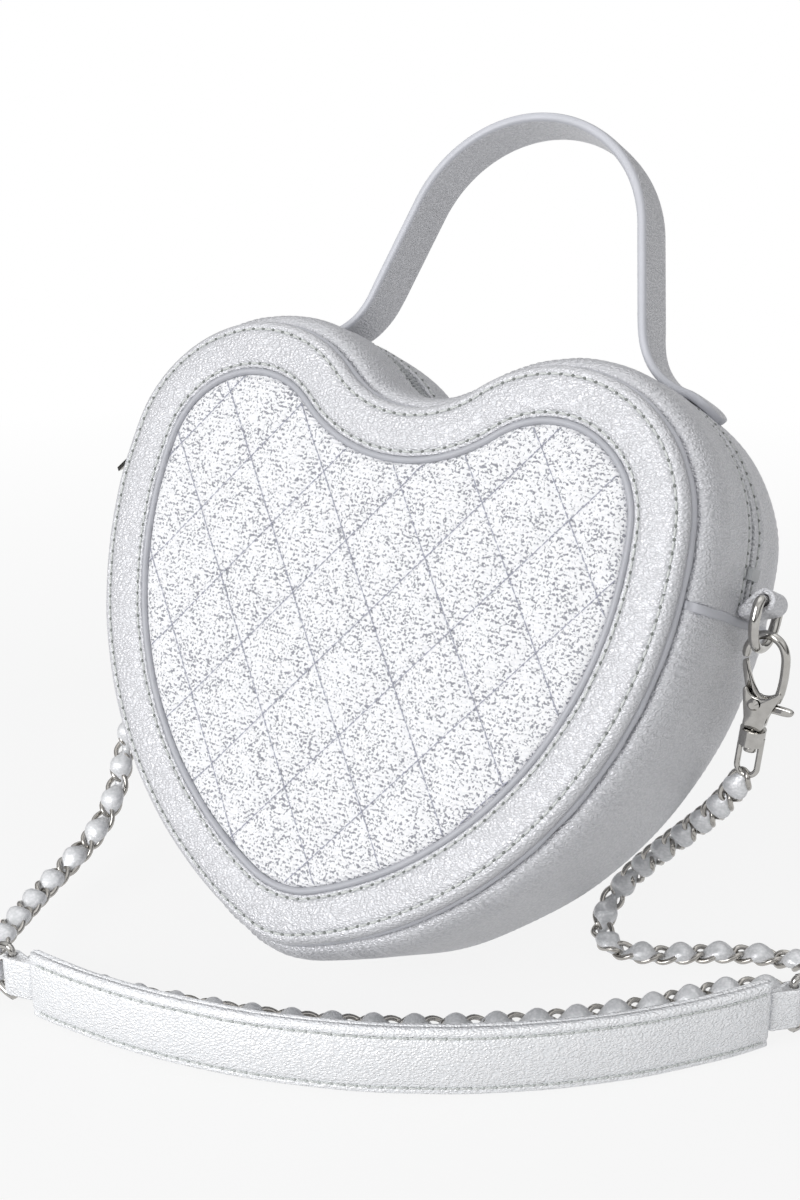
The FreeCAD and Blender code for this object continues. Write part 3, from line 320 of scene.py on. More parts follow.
def meshPiece(name, points, faces, material):
    mesh = bpy.data.meshes.new(name)
    mesh.from_pydata(np.asarray(points).tolist(), [], faces)
    mesh.validate()
    # every face looks outward, whichever way round its rows were made
    shell = bmesh.new()
    shell.from_mesh(mesh)
    bmesh.ops.recalc_face_normals(shell, faces=shell.faces)
    shell.to_mesh(mesh)
    shell.free()
    mesh.polygons.foreach_set("use_smooth", [True] * len(mesh.polygons))
    mesh.materials.append(material)
    piece = bpy.data.objects.new(name, mesh)
    scene.collection.objects.link(piece)
    return piece


# a smooth mesh from rows of points; wrap closes it along or across the rows, capped shuts both ends of a tube
def gridPiece(name, rows, material, wrapAcross=False, wrapAlong=False, capped=False):
    rows = np.asarray(rows, float)
    high, wide = rows.shape[:2]
    index = np.arange(high * wide).reshape(high, wide)
    down = np.vstack([index, index[:1]]) if wrapAcross else index
    both = np.hstack([down, down[:, :1]]) if wrapAlong else down
    faces = np.stack([both[:-1, :-1], both[:-1, 1:], both[1:, 1:], both[1:, :-1]], -1).reshape(-1, 4)
    caps = [index[:, 0].tolist(), index[::-1, -1].tolist()] if capped else []
    return meshPiece(name, rows.reshape(-1, 3), faces.tolist() + caps, material)


# faces of a tube, or of many, from numbered points: the last axis goes round, the one before it along
def tubeFaces(index):
    after = np.roll(index, -1, axis=-1)
    near, far = index[..., :-1, :], index[..., 1:, :]
    return np.stack([near, after[..., :-1, :], after[..., 1:, :], far], -1).reshape(-1, 4).tolist()


# many short closed bars as one mesh: points by bar, along it and round it
def barsPiece(name, points, material):
    index = np.arange(points[..., 0].size).reshape(points.shape[:-1])
    caps = np.concatenate([index[:, 0, ::-1], index[:, -1]]).tolist()
    return meshPiece(name, points.reshape(-1, 3), tubeFaces(index) + caps, material)


def dress(piece, body, slotName, *nodes):
    if body:
        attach(piece, body)
    if nodes:
        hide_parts(*nodes)


# a piece of the bag's own body in the place of a solid: closed like a ring, or a tube with two caps
def bagPiece(name, rows, material, slotName, node, ring=True):
    piece = gridPiece(name, rows, material, wrapAcross=True, wrapAlong=ring, capped=not ring)
    dress(piece, "bag", slotName, node)
    return piece


# STITCHES: a strand's arch and taper as shares, and the size of the needle holes between strands
stitch = {"arch": 0.55, "taper": 0.93, "steps": 7, "sides": 6, "sink": 0.12, "hole": 1.3, "holeThick": 0.8,
          "holeSink": 0.24}


# short arched strands along a line of points; shift is the share of a pitch before the first
def stitchPoints(line, normals, pitch, strand, thick, sink, shift=0.5):
    line = line / mm
    run = runAlong(line)
    count = max(2, int(run[-1] / pitch))
    centres = (np.arange(count) + shift) * run[-1] / count
    reach = np.linspace(-1, 1, stitch["steps"])
    places = centres[:, None] + reach * strand / 2
    spine = readOff(places, run, line)
    out = unit(readOff(places, run, normals))
    side = np.cross(unit(spine[:, -1] - spine[:, 0])[:, None, :], out)
    arch = (thick * stitch["arch"] * (1 - reach ** 2) - sink)[:, None]
    girth = (thick / 2 * np.sqrt(1 - (stitch["taper"] * reach) ** 2))[:, None, None]
    turn = roundTurn(stitch["sides"])[:, None]
    ring = np.cos(turn) * side[:, :, None, :] + np.sin(turn) * out[:, :, None, :]
    return ((spine + arch * out)[:, :, None, :] + girth * ring) * mm


# a seam as the eye sees it: pale thread, and between one stitch and the next a needle hole whose shade is
# painted as a darker grey bar
def sewnSeam(name, line, normals, size, hole=needleHoleShade):
    thread = stitchPoints(line, normals, size["pitch"], size["strand"], size["thread"], stitch["sink"])
    dress(barsPiece(name + "Thread", thread, seamThread), "bag", "silver_leather")
    holes = stitchPoints(line, normals, size["pitch"], stitch["hole"], stitch["holeThick"],
                         stitch["holeSink"], shift=1)
    dress(barsPiece(name + "HoleShades", holes, hole), "bag", "silver_leather")


# HEART: its arcs at an inset, anticlockwise from the right-hand seam: x, z, radius, from, to, outward sign
def heartArcs(inset, tipRound):
    half = bag["width"] / 2 - inset
    tip = tipRound - inset
    side = (half ** 2 + (seamLevel - tipRound) ** 2 - tip ** 2) / (2 * (half - tip))
    sideX = half - side
    lobe = bag["lobe"] - inset
    lobeX = sideX + math.sqrt((side - lobe) ** 2 - (lobeHeight - seamLevel) ** 2)
    low = bag["lobe"] - bag["notch"] - inset
    dip = (lobeX ** 2 + low ** 2 - lobe ** 2) / (2 * (lobe - low))
    dipZ = lobeHeight + low + dip
    shoulder = math.atan2(lobeHeight - seamLevel, lobeX - sideX)
    cleft = math.atan2(dipZ - lobeHeight, -lobeX)
    flank = math.atan2(tipRound - seamLevel, -sideX)
    back = math.pi
    return [(sideX, seamLevel, side, 0, shoulder, 1),
            (lobeX, lobeHeight, lobe, shoulder, cleft, 1),
            (0, dipZ, dip, cleft - back, -cleft, -1),
            (-lobeX, lobeHeight, lobe, back - cleft, back - shoulder, 1),
            (-sideX, seamLevel, side, back - shoulder, back, 1),
            (-sideX, seamLevel, side, back, back - flank, 1),
            (0, tipRound, tip, back - flank, fullTurn + flank, 1),
            (sideX, seamLevel, side, flank, 0, 1)]


upperRun = range(0, 5)
lowerRun = range(5, 8)
wholeRun = range(0, 8)


# points along the heart: x, z, outward x, outward z, distance along the outer edge
def heartLine(inset, tipRound=bag["tip"], run=wholeRun, spacing=1.0):
    arcs = heartArcs(inset, tipRound)
    outer = heartArcs(0, bag["tip"])
    found = []
    gone = 0
    for at in run:
        x, z, radius, start, finish, sign = arcs[at]
        length = abs(outer[at][4] - outer[at][3]) * outer[at][2]
        count = max(4, round(length / spacing))
        last = at == run[-1] and run is not wholeRun
        for step in range(count + 1 if last else count):
            angle = start + (finish - start) * step / count
            found.append((x + radius * math.cos(angle), z + radius * math.sin(angle), sign * math.cos(angle),
                          sign * math.sin(angle), gone + length * step / count))
        gone += length
    return np.array(found).T


# the heart-shaped window has a rounder tip
def windowLine(inset):
    return heartLine(inset, bag["windowTip"] + frontFrame["width"])


# a band that follows the heart: section is a list of outward offset and depth, arrays or numbers
def sweepHeart(line, section):
    x, z, outX, outZ = line[:4]
    return np.array([bagPoints(x + outX * out, depth, z + outZ * out) for out, depth in section])


# the outline drawn in toward the middle of the bag, by share of the way out
def drawnIn(edge, share):
    middleX, middleZ = bag["middle"]
    return middleX + (edge[0] - middleX) * share, middleZ + (edge[1] - middleZ) * share


# the flat back of a panel: a dot in the middle, then the edge
def flatBack(edge, depth):
    x, z = drawnIn(edge, bag["ringEnd"])
    return [bagPoints(x, depth, z), bagPoints(edge[0], depth, edge[1])]


# FRONT FRAME, the padded leather border round the window; distances in from its outer edge
frontFrame = {"edge": 0.6, "width": 16, "back": -2.1, "thickness": 3.6, "fill": 3.4, "fillPower": 2.3,
              "innerFill": 1.2, "innerPower": 2, "innerDrop": 0.3, "crown": 0.6, "crownPower": 1.5,
              "slack": (0.16, 24, 60), "outerStitch": 3.1, "innerStitch": 14.0, "pitch": 3.7,
              "strand": 2.9, "thread": 0.75, "groove": (0.55, 0.75), "pucker": (0.1, 2.0),
              "slopeStep": 0.8}
frameWhole = frontFrame["width"] - frontFrame["edge"]
# rows of the mesh, closest where the leather turns and at the stitches
frameRows = np.concatenate([[0, 0.08, 0.25, 0.5, 0.9, 1.3, 1.8], np.arange(2.2, 4.2, 0.3),
                            np.arange(4.6, 12.0, 0.7), np.arange(12.3, 14.4, 0.3),
                            [14.7, 15.0, 15.2, 15.35, frameWhole]])


# depth of the frame's face, w mm in from its outer edge
def frameDepth(w, along):
    rise = swell(w, frontFrame["fill"], frontFrame["fillPower"])
    fall = swell(frameWhole - w, frontFrame["innerFill"], frontFrame["innerPower"])
    depth = frontFrame["back"] - frontFrame["thickness"] * rise * (1 - frontFrame["innerDrop"] * (1 - fall))
    across = math.pi * min(max(w / frameWhole, 0), 1)
    depth = depth - frontFrame["crown"] * abs(math.sin(across)) ** frontFrame["crownPower"]
    depth = depth - rise * ripple(along, 3, *frontFrame["slack"])
    drawn = np.cos(along * fullTurn / frontFrame["pitch"])
    for row in (frontFrame["outerStitch"], frontFrame["innerStitch"]):
        depth = depth + bell(w - row, *frontFrame["groove"]) + drawn * bell(w - row, *frontFrame["pucker"])
    return depth


def framePoints(w, outer, inner):
    x, z = outer[:2] + (inner[:2] - outer[:2]) * w / frameWhole
    return bagPoints(x, frameDepth(w, outer[4]), z)


def makeFrontFrame():
    outer = heartLine(frontFrame["edge"])
    inner = windowLine(frontFrame["width"])
    rows = [framePoints(w, outer, inner) for w in frameRows]
    rows.append(bagPoints(inner[0], frontFrame["back"], inner[1]))
    piece = bagPiece("frontFrame", rows, silverLeather, "silver_leather", "front_frame")
    front = leaned(0, -1, 0)
    step = frontFrame["slopeStep"]
    for side in ("outer", "inner"):
        w = frontFrame[side + "Stitch"]
        line = shut(framePoints(w, outer, inner))
        slope = shut(framePoints(w + step, outer, inner) - framePoints(w - step, outer, inner))
        normals = np.cross(np.gradient(line, axis=0), slope)
        normals *= np.sign(normals @ front)[:, None]
        sewnSeam("frame" + side.capitalize() + "Stitches", line, normals, frontFrame)


makeFrontFrame()

# EDGE ROLL round the window, and the PIPINGS round both faces
edgeRoll = {"inset": 16.95, "depth": -4.5, "halfWide": 1.05, "halfDeep": 1.3, "slack": (0.1, 14, 40)}
piping = {"inset": 1.8, "radius": 1.8, "slack": (0.05, 9, 25)}


def cordSection(halfWide, halfDeep, sides=16):
    return [(halfWide * math.cos(angle), halfDeep * math.sin(angle)) for angle in roundTurn(sides)]


def makeRolls():
    line = windowLine(edgeRoll["inset"])
    depth = edgeRoll["depth"] + ripple(line[4], 5, *edgeRoll["slack"])
    section = [(out, depth + deep) for out, deep in cordSection(edgeRoll["halfWide"], edgeRoll["halfDeep"])]
    # painted shade: the roll takes the darker copy of the trim leather
    bagPiece("edgeRoll", sweepHeart(line, section), shadedRollLeather, "smooth_trim", "front_edge_roll")
    line = heartLine(piping["inset"])
    for side, depth, seed in (("front", 0, 11), ("rear", bag["depth"], 12)):
        plump = 1 + ripple(line[4], seed, *piping["slack"])
        cord = cordSection(piping["radius"], piping["radius"])
        section = [(out * plump, depth + deep * plump) for out, deep in cord]
        bagPiece(side + "Piping", sweepHeart(line, section), trimLeather, "smooth_trim", side + "_piping")


makeRolls()
print("front frame, roll and pipings made")

# QUILTED PANEL: tweed over foam, sewn in diamonds
quilt = {"inset": 17.7, "back": -2.1, "edgeDepth": -3.7, "face": -5.6, "fill": 4.0, "crown": 0.5, "puff": 1.7,
         "puffPower": 0.7, "puffLevel": 0.45, "puffReach": 6, "puffLeast": 0.15, "nodeX": -6.9, "nodeZ": 83.0,
         "halfWide": 13.9, "halfHigh": 18.8, "rings": 110, "pitch": 2.6, "strand": 2.5, "thread": 0.36,
         "sink": 0.05, "showing": 0.16, "lines": 6, "lineReach": 90, "lineStep": 0.25, "lineInset": 0.6,
         "lineLeast": 24}


# how far a point lies in from the panel's edge, and what share of the way out from the middle it is
def quiltPlace(x, z, edge):
    middleX, middleZ = bag["middle"]
    angles = np.unwrap(np.arctan2(edge[1] - middleZ, edge[0] - middleX))
    reach = np.hypot(edge[0] - middleX, edge[1] - middleZ)
    facing = (edge[2] * (edge[0] - middleX) + edge[3] * (edge[1] - middleZ)) / reach
    angles = np.concatenate([angles - fullTurn, angles, angles + fullTurn])
    angle = np.arctan2(z - middleZ, x - middleX)
    limit = np.interp(angle, angles, np.tile(reach, 3))
    lean = np.interp(angle, angles, np.tile(facing, 3))
    out = np.hypot(x - middleX, z - middleZ)
    return (limit - out) * lean, out / limit


# the two families of sewn lines, as counts of diamonds
def quiltPhase(x, z):
    across = (x - quilt["nodeX"]) / quilt["halfWide"]
    upward = (z - quilt["nodeZ"]) / quilt["halfHigh"]
    return (across + upward) / 2, (across - upward) / 2


def quiltDepth(x, z, edge):
    inside, share = quiltPlace(x, z, edge)
    one, two = quiltPhase(x, z)
    puff = (np.abs(np.sin(math.pi * one)) * np.abs(np.sin(math.pi * two))) ** quilt["puffPower"]
    depth = quilt["edgeDepth"] + (quilt["face"] - quilt["edgeDepth"]) * swell(inside, quilt["fill"])
    depth = depth - quilt["crown"] * (1 - np.clip(share, 0, 1) ** 2)
    filled = np.clip(inside / quilt["puffReach"], quilt["puffLeast"], 1)
    return depth - quilt["puff"] * (puff - quilt["puffLevel"]) * filled


def makeQuilt():
    edge = windowLine(quilt["inset"])
    rows = flatBack(edge, quilt["back"])
    for share in np.linspace(1, bag["ringEnd"], quilt["rings"]):
        x, z = drawnIn(edge, share)
        rows.append(bagPoints(x, quiltDepth(x, z, edge), z))
    panel = bagPiece("quiltedPanel", rows, tweed, "tweed", "front_quilt")
    makeQuiltThreads(edge)


# one object for all the sewn lines that cross the panel
def makeQuiltThreads(edge):
    slope = quilt["halfHigh"] / quilt["halfWide"]
    strands = []
    for tilt in (1, -1):
        for number in range(-quilt["lines"], quilt["lines"] + 1):
            x = np.arange(-quilt["lineReach"], quilt["lineReach"], quilt["lineStep"])
            z = quilt["nodeZ"] + tilt * slope * (x - quilt["nodeX"]) + 2 * quilt["halfHigh"] * number
            good = np.flatnonzero(quiltPlace(x, z, edge)[0] > quilt["lineInset"])
            for group in np.split(good, np.flatnonzero(np.diff(good) > 1) + 1):
                if len(group) > quilt["lineLeast"]:
                    strands.append(quiltStrands(x[group], z[group], edge))
    dress(barsPiece("quiltThreads", np.concatenate(strands), quiltThread), "bag", "tweed")


def quiltStrands(x, z, edge):
    line = bagPoints(x, quiltDepth(x, z, edge) - quilt["showing"], z)
    normals = np.tile(leaned(0, -1, 0), (len(line), 1))
    return stitchPoints(line, normals, quilt["pitch"], quilt["strand"], quilt["thread"], quilt["sink"])


makeQuilt()
print("quilted panel made")

# GUSSET: the leather wall, gathered a little at both pipings, with a lip on each side of the zip
gusset = {"edge": 2.1, "bulge": 5.0, "leather": 2.0, "hem": 3.0, "hemDeep": 1.9, "fill": 14.0,
          "fillPower": 2.1, "gather": (0.45, 1.9, 2.9), "rearGather": (0.12, 1.9, 2.9), "gatherFrom": 1.5,
          "gatherReach": 6.5, "slack": (0.3, 28, 70), "slackFrom": 20, "pitch": 3.6, "strand": 2.8,
          "thread": 0.6}
lip = {"gap": 9.0, "stitch": 2.2, "edgeSink": 0.55, "edgeRound": 1.0, "edgePower": 2, "ridgeAt": 4.2,
       "ridge": (0.35, 1.6), "groove": (0.3, 0.6)}
# over the right-hand lobe the lips draw together: by how much, from which x over how far, and how deep in
lipClosing = {"by": 3.3, "from": 8, "over": 30, "reach": 9}
lipFront = (bag["depth"] - lip["gap"]) / 2
lipRear = (bag["depth"] + lip["gap"]) / 2


def gussetRise(near):
    return gusset["bulge"] * swell(near, gusset["fill"], gusset["fillPower"])


# how far the gusset stands out, s mm from the front piping
def gussetOut(s, along, seed):
    fromRear = bag["depth"] - 2 * gusset["edge"] - s
    near = min(s, fromRear)
    inFront = s < fromRear
    fade = min(max(near / gusset["gatherFrom"], 0), 1) * math.exp(-near / gusset["gatherReach"])
    size = gusset["gather"] if inFront else gusset["rearGather"]
    gather = ripple(along, seed if inFront else seed + 1, *size)
    soft = ripple(along, seed + 2, *gusset["slack"])
    return gussetRise(near) + fade * gather + soft * swell(near, gusset["slackFrom"])


# outer and inner skin of the wall; a lip's edge is turned in, with a ridge and a row of stitches behind it
def gussetSection(line, depths, seed, lipAt=None):
    closing = lipClosing["by"] * np.clip((line[0] - lipClosing["from"]) / lipClosing["over"], 0, 1)
    innermost = gusset["edge"] + gusset["hemDeep"]
    outside = []
    inside = []
    for depth in depths:
        out = gussetOut(depth - gusset["edge"], line[4], seed)
        if lipAt is not None:
            fromLip = abs(depth - lipAt)
            out = out - lip["edgeSink"] * (1 - swell(fromLip, lip["edgeRound"], lip["edgePower"]))
            out = out + bell(fromLip - lip["ridgeAt"], *lip["ridge"])
            out = out - bell(fromLip - lip["stitch"], *lip["groove"])
            way = 1 if lipAt < bag["depth"] / 2 else -1
            depth = depth + way * closing * max(0, 1 - fromLip / lipClosing["reach"])
        outside.append((out, depth))
        deeper = np.clip(depth, innermost, bag["depth"] - innermost)
        inside.append((np.minimum(out, gusset["bulge"]) - gusset["leather"], deeper))
    return outside, inside[::-1]


def makeGusset():
    front, rear = gusset["edge"], bag["depth"] - gusset["edge"]
    # rows of the mesh, closest at the pipings and at the lips
    steep = np.array([0, 0.2, 0.5, 0.9, 1.4, 2, 2.7, 3.5, 4.4, 5.4, 6.5, 7.7])
    atLip = np.array([6, 5.2, 4.6, 4, 3.4, 2.8, 2.4, 2.0, 1.6, 1.1, 0.6, 0.2, 0])
    lowRows = np.concatenate([front + steep, np.arange(front + 9, rear - 8.5, 1.4), rear - steep[::-1]])
    frontRows = np.concatenate([front + steep, np.arange(front + 9, lipFront - 6.6, 1.2), lipFront - atLip])
    rearRows = np.concatenate([lipRear + atLip[::-1], np.arange(lipRear + 7, rear - 8.5, 1.2),
                               rear - steep[::-1]])
    hemFront = [(-gusset["hem"], front + gusset["hemDeep"]), (-gusset["hem"], front)]
    hemRear = [(-gusset["hem"], rear), (-gusset["hem"], rear - gusset["hemDeep"])]
    lowLine = heartLine(0, run=lowerRun, spacing=0.5)
    topLine = heartLine(0, run=upperRun, spacing=0.5)
    walls = (("lowerGusset", "lower_gusset", lowLine, lowRows, 21, None, hemFront, hemRear),
             ("zipGussetFront", "zip_gusset_front", topLine, frontRows, 31, lipFront, hemFront, []),
             ("zipGussetRear", "zip_gusset_rear", topLine, rearRows, 41, lipRear, [], hemRear))
    for name, node, line, depths, seed, lipAt, before, after in walls:
        outside, inside = gussetSection(line, depths, seed, lipAt)
        rows = sweepHeart(line, before + outside + after + inside)
        bagPiece(name, rows, silverLeather, "silver_leather", node, ring=False)
    out = leaned(topLine[2], 0, topLine[3])
    for side, lipAt, way, seed in (("Front", lipFront, -1, 31), ("Rear", lipRear, 1, 41)):
        section = gussetSection(topLine, [lipAt + way * lip["stitch"]], seed, lipAt)[0]
        sewnSeam("lipStitches" + side, sweepHeart(topLine, section)[0], out, gusset)


makeGusset()

# SIDE SEAMS: a smooth folded strip where the lower gusset meets the zip halves
sideSeam = {"height": 2.6, "proud": 0.9, "base": 0.1, "crown": 0.75, "lowered": 0.96, "start": 1.4,
            "finish": 62.4, "rows": 90, "sides": 16, "slack": (0.2, 9, 22)}


def makeSideSeams():
    depths = np.linspace(sideSeam["start"], sideSeam["finish"], sideSeam["rows"])
    s = depths - gusset["edge"]
    stands = gussetRise(np.minimum(s, bag["depth"] - 2 * gusset["edge"] - s))
    for side, hand in hands:
        wave = ripple(depths, 51 + hand, *sideSeam["slack"])
        rows = []
        for angle in roundTurn(sideSeam["sides"]):
            out = stands + sideSeam["proud"] * (sideSeam["base"] + sideSeam["crown"] * math.sin(angle))
            up = seamLevel - sideSeam["height"] / 2 * (1 - sideSeam["lowered"] * math.cos(angle)) + wave
            rows.append(bagPoints(hand * (bag["width"] / 2 + out), depths, up))
        bagPiece("sideSeam" + side, rows, trimLeather, "silver_leather", "side_seam_" + side.lower(),
                 ring=False)


makeSideSeams()
print("gusset made")

# ZIP: tapes under the lips, and a coil of small moulded teeth on each
zipRow = {"tapeTop": 2.97, "tapeLow": 2.4, "tapeWidth": 12.3, "tapeRows": 9, "gap": 0.4, "pitch": 1.5,
          "tooth": 2.3, "toothFoot": 3.0, "rise": 1.6, "clear": 0.02, "halfAhead": 0.4, "blunt": 0.42,
          "steps": 5, "sides": 8}


def makeZip():
    topLine = heartLine(0, run=upperRun, spacing=1.0)
    dense = heartLine(0, run=upperRun, spacing=zipRow["pitch"])
    for side, way in (("Front", -1), ("Rear", 1)):
        near = bag["depth"] / 2 + way * zipRow["gap"] / 2
        cross = np.linspace(near, near + way * zipRow["tapeWidth"], zipRow["tapeRows"])
        section = [(zipRow["tapeTop"], depth) for depth in cross]
        section += [(zipRow["tapeLow"], depth) for depth in cross[::-1]]
        rows = sweepHeart(topLine, section)
        bagPiece("zipTape" + side, rows, zipTapeCloth, "zip_tape", "zip_tape_" + side.lower(), ring=False)
        coil = barsPiece("zipCoil" + side, coilPoints(dense, near, way), coilNylon)
        dress(coil, "bag", "zip_coil", "zip_coil_" + side.lower())


# every tooth is a short rounded bar across the tape
def coilPoints(dense, near, way):
    x, z, outX, outZ = dense[:4]
    points = []
    for share in np.linspace(0, 1, zipRow["steps"]):
        full = math.sqrt(max(0, 1 - (2 * share - 1) ** 4))
        girth = zipRow["blunt"] + (1 - zipRow["blunt"]) * full
        depth = near + way * (zipRow["clear"] + share * (zipRow["tooth"] - 2 * zipRow["clear"]))
        for angle in roundTurn(zipRow["sides"]):
            out = zipRow["toothFoot"] + zipRow["rise"] / 2 * (1 + girth * math.sin(angle))
            ahead = zipRow["pitch"] * zipRow["halfAhead"] * girth * math.cos(angle)
            points.append(bagPoints(x + outX * out - outZ * ahead, depth, z + outZ * out + outX * ahead))
    return np.stack(points, 1).reshape(-1, zipRow["steps"], zipRow["sides"], 3)


makeZip()
print("zip made")

# REAR PANEL: one flat leather heart, lightly padded, with a row of stitches
rearPanel = {"inset": 3.0, "front": 67.1, "thickness": 3.0, "fill": 3.0, "crown": 0.5, "crownReach": 60,
             "stitch": 3.6, "groove": (0.45, 0.8), "slack": (0.12, 30, 80), "slackLean": 0.6,
             "pitch": 3.7, "strand": 2.9, "thread": 0.7}
# rings of the mesh, closer near the edge
rearShares = np.concatenate([np.linspace(1, 0.9, 16), np.linspace(0.88, bag["ringEnd"], 40)])


def rearDepth(inside, x, z):
    puff = rearPanel["thickness"] * swell(inside, rearPanel["fill"])
    puff = puff + rearPanel["crown"] * swell(inside, rearPanel["crownReach"])
    groove = bell(inside - rearPanel["stitch"], *rearPanel["groove"])
    wave = ripple(x + rearPanel["slackLean"] * z, 61, *rearPanel["slack"])
    return rearPanel["front"] + puff - groove + wave


def makeRearPanel():
    edge = heartLine(rearPanel["inset"])
    middleX, middleZ = bag["middle"]
    facing = edge[2] * (edge[0] - middleX) + edge[3] * (edge[1] - middleZ)
    rows = flatBack(edge, rearPanel["front"])
    for share in rearShares:
        x, z = drawnIn(edge, share)
        rows.append(bagPoints(x, rearDepth((1 - share) * facing, x, z), z))
    bagPiece("rearPanel", rows, silverLeather, "silver_leather", "rear_panel")
    x, z = heartLine(rearPanel["inset"] + rearPanel["stitch"])[:2]
    line = shut(bagPoints(x, rearDepth(rearPanel["stitch"], x, z), z))
    sewnSeam("rearStitches", line, np.tile(leaned(0, 1, 0), (len(line), 1)), rearPanel)


makeRearPanel()

# LINING: thin cloth on both boards and inside the gusset
lining = {"inset": 4.2, "front": 0.1, "rear": 64.9, "lower": 2.3, "upper": 1.7, "from": 7.3, "to": 57.7,
          "rings": 24, "rows": 14, "slack": (0.15, 20, 45), "slackLean": 0.7, "bandSlack": (0.15, 12, 30)}


def makeLining():
    edge = heartLine(lining["inset"], spacing=3)
    for side in ("front", "rear"):
        rows = []
        for share in np.linspace(1, bag["ringEnd"], lining["rings"]):
            x, z = drawnIn(edge, share)
            wave = ripple(x * lining["slackLean"] + z, 71, *lining["slack"])
            rows.append(bagPoints(x, lining[side] + wave, z))
        cloth = gridPiece("lining" + side.capitalize(), rows, liningCloth, wrapAlong=True)
        dress(cloth, "bag", "lining", "lining_" + side)
    bands = (("Lower", lowerRun, lining["lower"], lining["from"], lining["to"], "lowerGusset"),
             ("Front", upperRun, lining["upper"], lining["from"], lipFront, "zipGussetFront"),
             ("Rear", upperRun, lining["upper"], lipRear, lining["to"], "zipGussetRear"))
    for side, run, out, start, finish, holder in bands:
        line = heartLine(0, run=run, spacing=2)
        wavy = out + ripple(line[4], 75, *lining["bandSlack"])
        section = [(wavy, depth) for depth in np.linspace(start, finish, lining["rows"])]
        cloth = gridPiece("liningBand" + side, sweepHeart(line, section), liningCloth)
        dress(cloth, "bag", "lining", "lining_band_" + side.lower())


makeLining()
print("rear panel and lining made")

# HANDLE: one padded strap whose ends turn outward and are sewn down behind the zip
handle = {"setback": 47.0, "top": 268.0, "arch": 42.0, "splay": 15.0, "width": 18.5, "thickness": 3.6,
          "tabWidth": 17.5, "tabThickness": 3.2, "tabRise": 6.9, "tabEnd": 30.0, "turn": 16.0, "sides": 32,
          "endSink": 1.1, "endRound": 6.2, "endLeast": 0.02, "endThin": 0.28, "sewnReach": 42, "sewnFade": 12,
          "flatness": 0.4, "softness": 0.62, "edgeFrom": 0.75, "bendLow": 192.0, "bendHigh": 207.0,
          "archSteps": 48, "legFrom": 0.5, "legSteps": 26, "bendFrom": 0.08, "bendSteps": 14, "tabSteps": 21}


# right half of the strap's middle line, from the top of the arch to the sewn end
def handleHalf():
    lobe = np.array([heartArcs(0, bag["tip"])[1][0], lobeHeight])
    splay = math.radians(handle["splay"])
    angles = np.linspace(0, math.pi / 2 - splay, handle["archSteps"])
    arch = np.array([0, handle["top"] - handle["arch"]]) + handle["arch"] * onCircle(angles)
    radius = bag["lobe"] + handle["tabRise"]
    down = np.array([math.sin(splay), -math.cos(splay)])
    toLobe = arch[-1] - lobe
    along = -(toLobe @ down) - math.sqrt((toLobe @ down) ** 2 - toLobe @ toLobe + radius ** 2)
    meets = arch[-1] + down * along
    leg = np.linspace(handle["legFrom"], along - handle["turn"], handle["legSteps"])
    straight = arch[-1] + down * leg[:, None]
    afterAngle = math.atan2(*(meets - lobe)) + handle["turn"] / radius
    after = lobe + radius * onCircle(afterAngle)
    t = np.linspace(handle["bendFrom"], 1, handle["bendSteps"])[:, None]
    bend = (1 - t) ** 2 * straight[-1] + 2 * t * (1 - t) * meets + t * t * after
    share = np.linspace(0, 1, handle["tabSteps"] + 1)[1:]
    angles = afterAngle + (math.radians(handle["tabEnd"]) - afterAngle) * share
    tab = lobe + (radius - handle["endSink"] * share ** 2)[:, None] * onCircle(angles)
    return np.vstack([arch, straight, bend, tab])


# x and z on a circle of radius 1, turning from straight up toward the right
def onCircle(angle):
    return np.stack([np.sin(angle), np.cos(angle)], -1)


def makeHandle():
    half = handleHalf()
    line = np.vstack([half[1:][::-1] * np.array([-1, 1]), half])
    run = runAlong(line)
    ahead = unit(np.gradient(line, axis=0))
    fromEnd = np.minimum(run, run[-1] - run)
    sewn = np.clip((handle["sewnReach"] - fromEnd) / handle["sewnFade"], 0, 1)
    wide = handle["width"] + (handle["tabWidth"] - handle["width"]) * sewn
    thick = handle["thickness"] + (handle["tabThickness"] - handle["thickness"]) * sewn
    rounding = (1 - np.clip(fromEnd / handle["endRound"], 0, 1)) ** 2
    endRound = np.sqrt(np.clip(1 - rounding, handle["endLeast"], 1))
    thick = thick * (1 - handle["endThin"] * (1 - endRound))
    angles = roundTurn(handle["sides"])
    rows = []
    for angle in angles:
        across = squared(math.cos(angle), handle["flatness"]) * wide / 2 * endRound
        rise = squared(math.sin(angle), handle["softness"]) * thick / 2
        rows.append(bagPoints(line[:, 0] - ahead[:, 1] * rise, handle["setback"] + across,
                              line[:, 1] + ahead[:, 0] * rise))
    strap = gridPiece("handleStrap", rows, silverLeather, wrapAcross=True, capped=True)
    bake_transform(strap)
    dress(strap, None, "silver_leather", "handle", "handle_tab_left", "handle_tab_right")
    # both edges and the ends are folded smooth, the two faces are pebbled
    strap.data.materials.append(trimLeather)
    atEdge = np.abs(np.sin(angles + math.pi / handle["sides"])) < handle["edgeFrom"]
    slots = np.append(np.repeat(atEdge, len(line) - 1), [1, 1])
    strap.data.polygons.foreach_set("material_index", slots.astype(int).tolist())


makeHandle()
print("handle made")

# LEATHER LOOPS: folded round a ring's bar, the two layers meeting at the sewn end
ringLoop = {"hole": 1.9, "leather": 1.6, "tail": (-5.1, -4.1), "width": 12.0, "reach": 12.0, "rise": 6.0}
padLoop = {"hole": 1.6, "leather": 1.4, "tail": (-7.3, 0.0), "width": 13.0, "reach": 9.0}
# how far a loop's cut edge is drawn in, and at what distance from the edge
loopRim = ((0.5, 0), (0.12, 0.15), (0, 0.6))


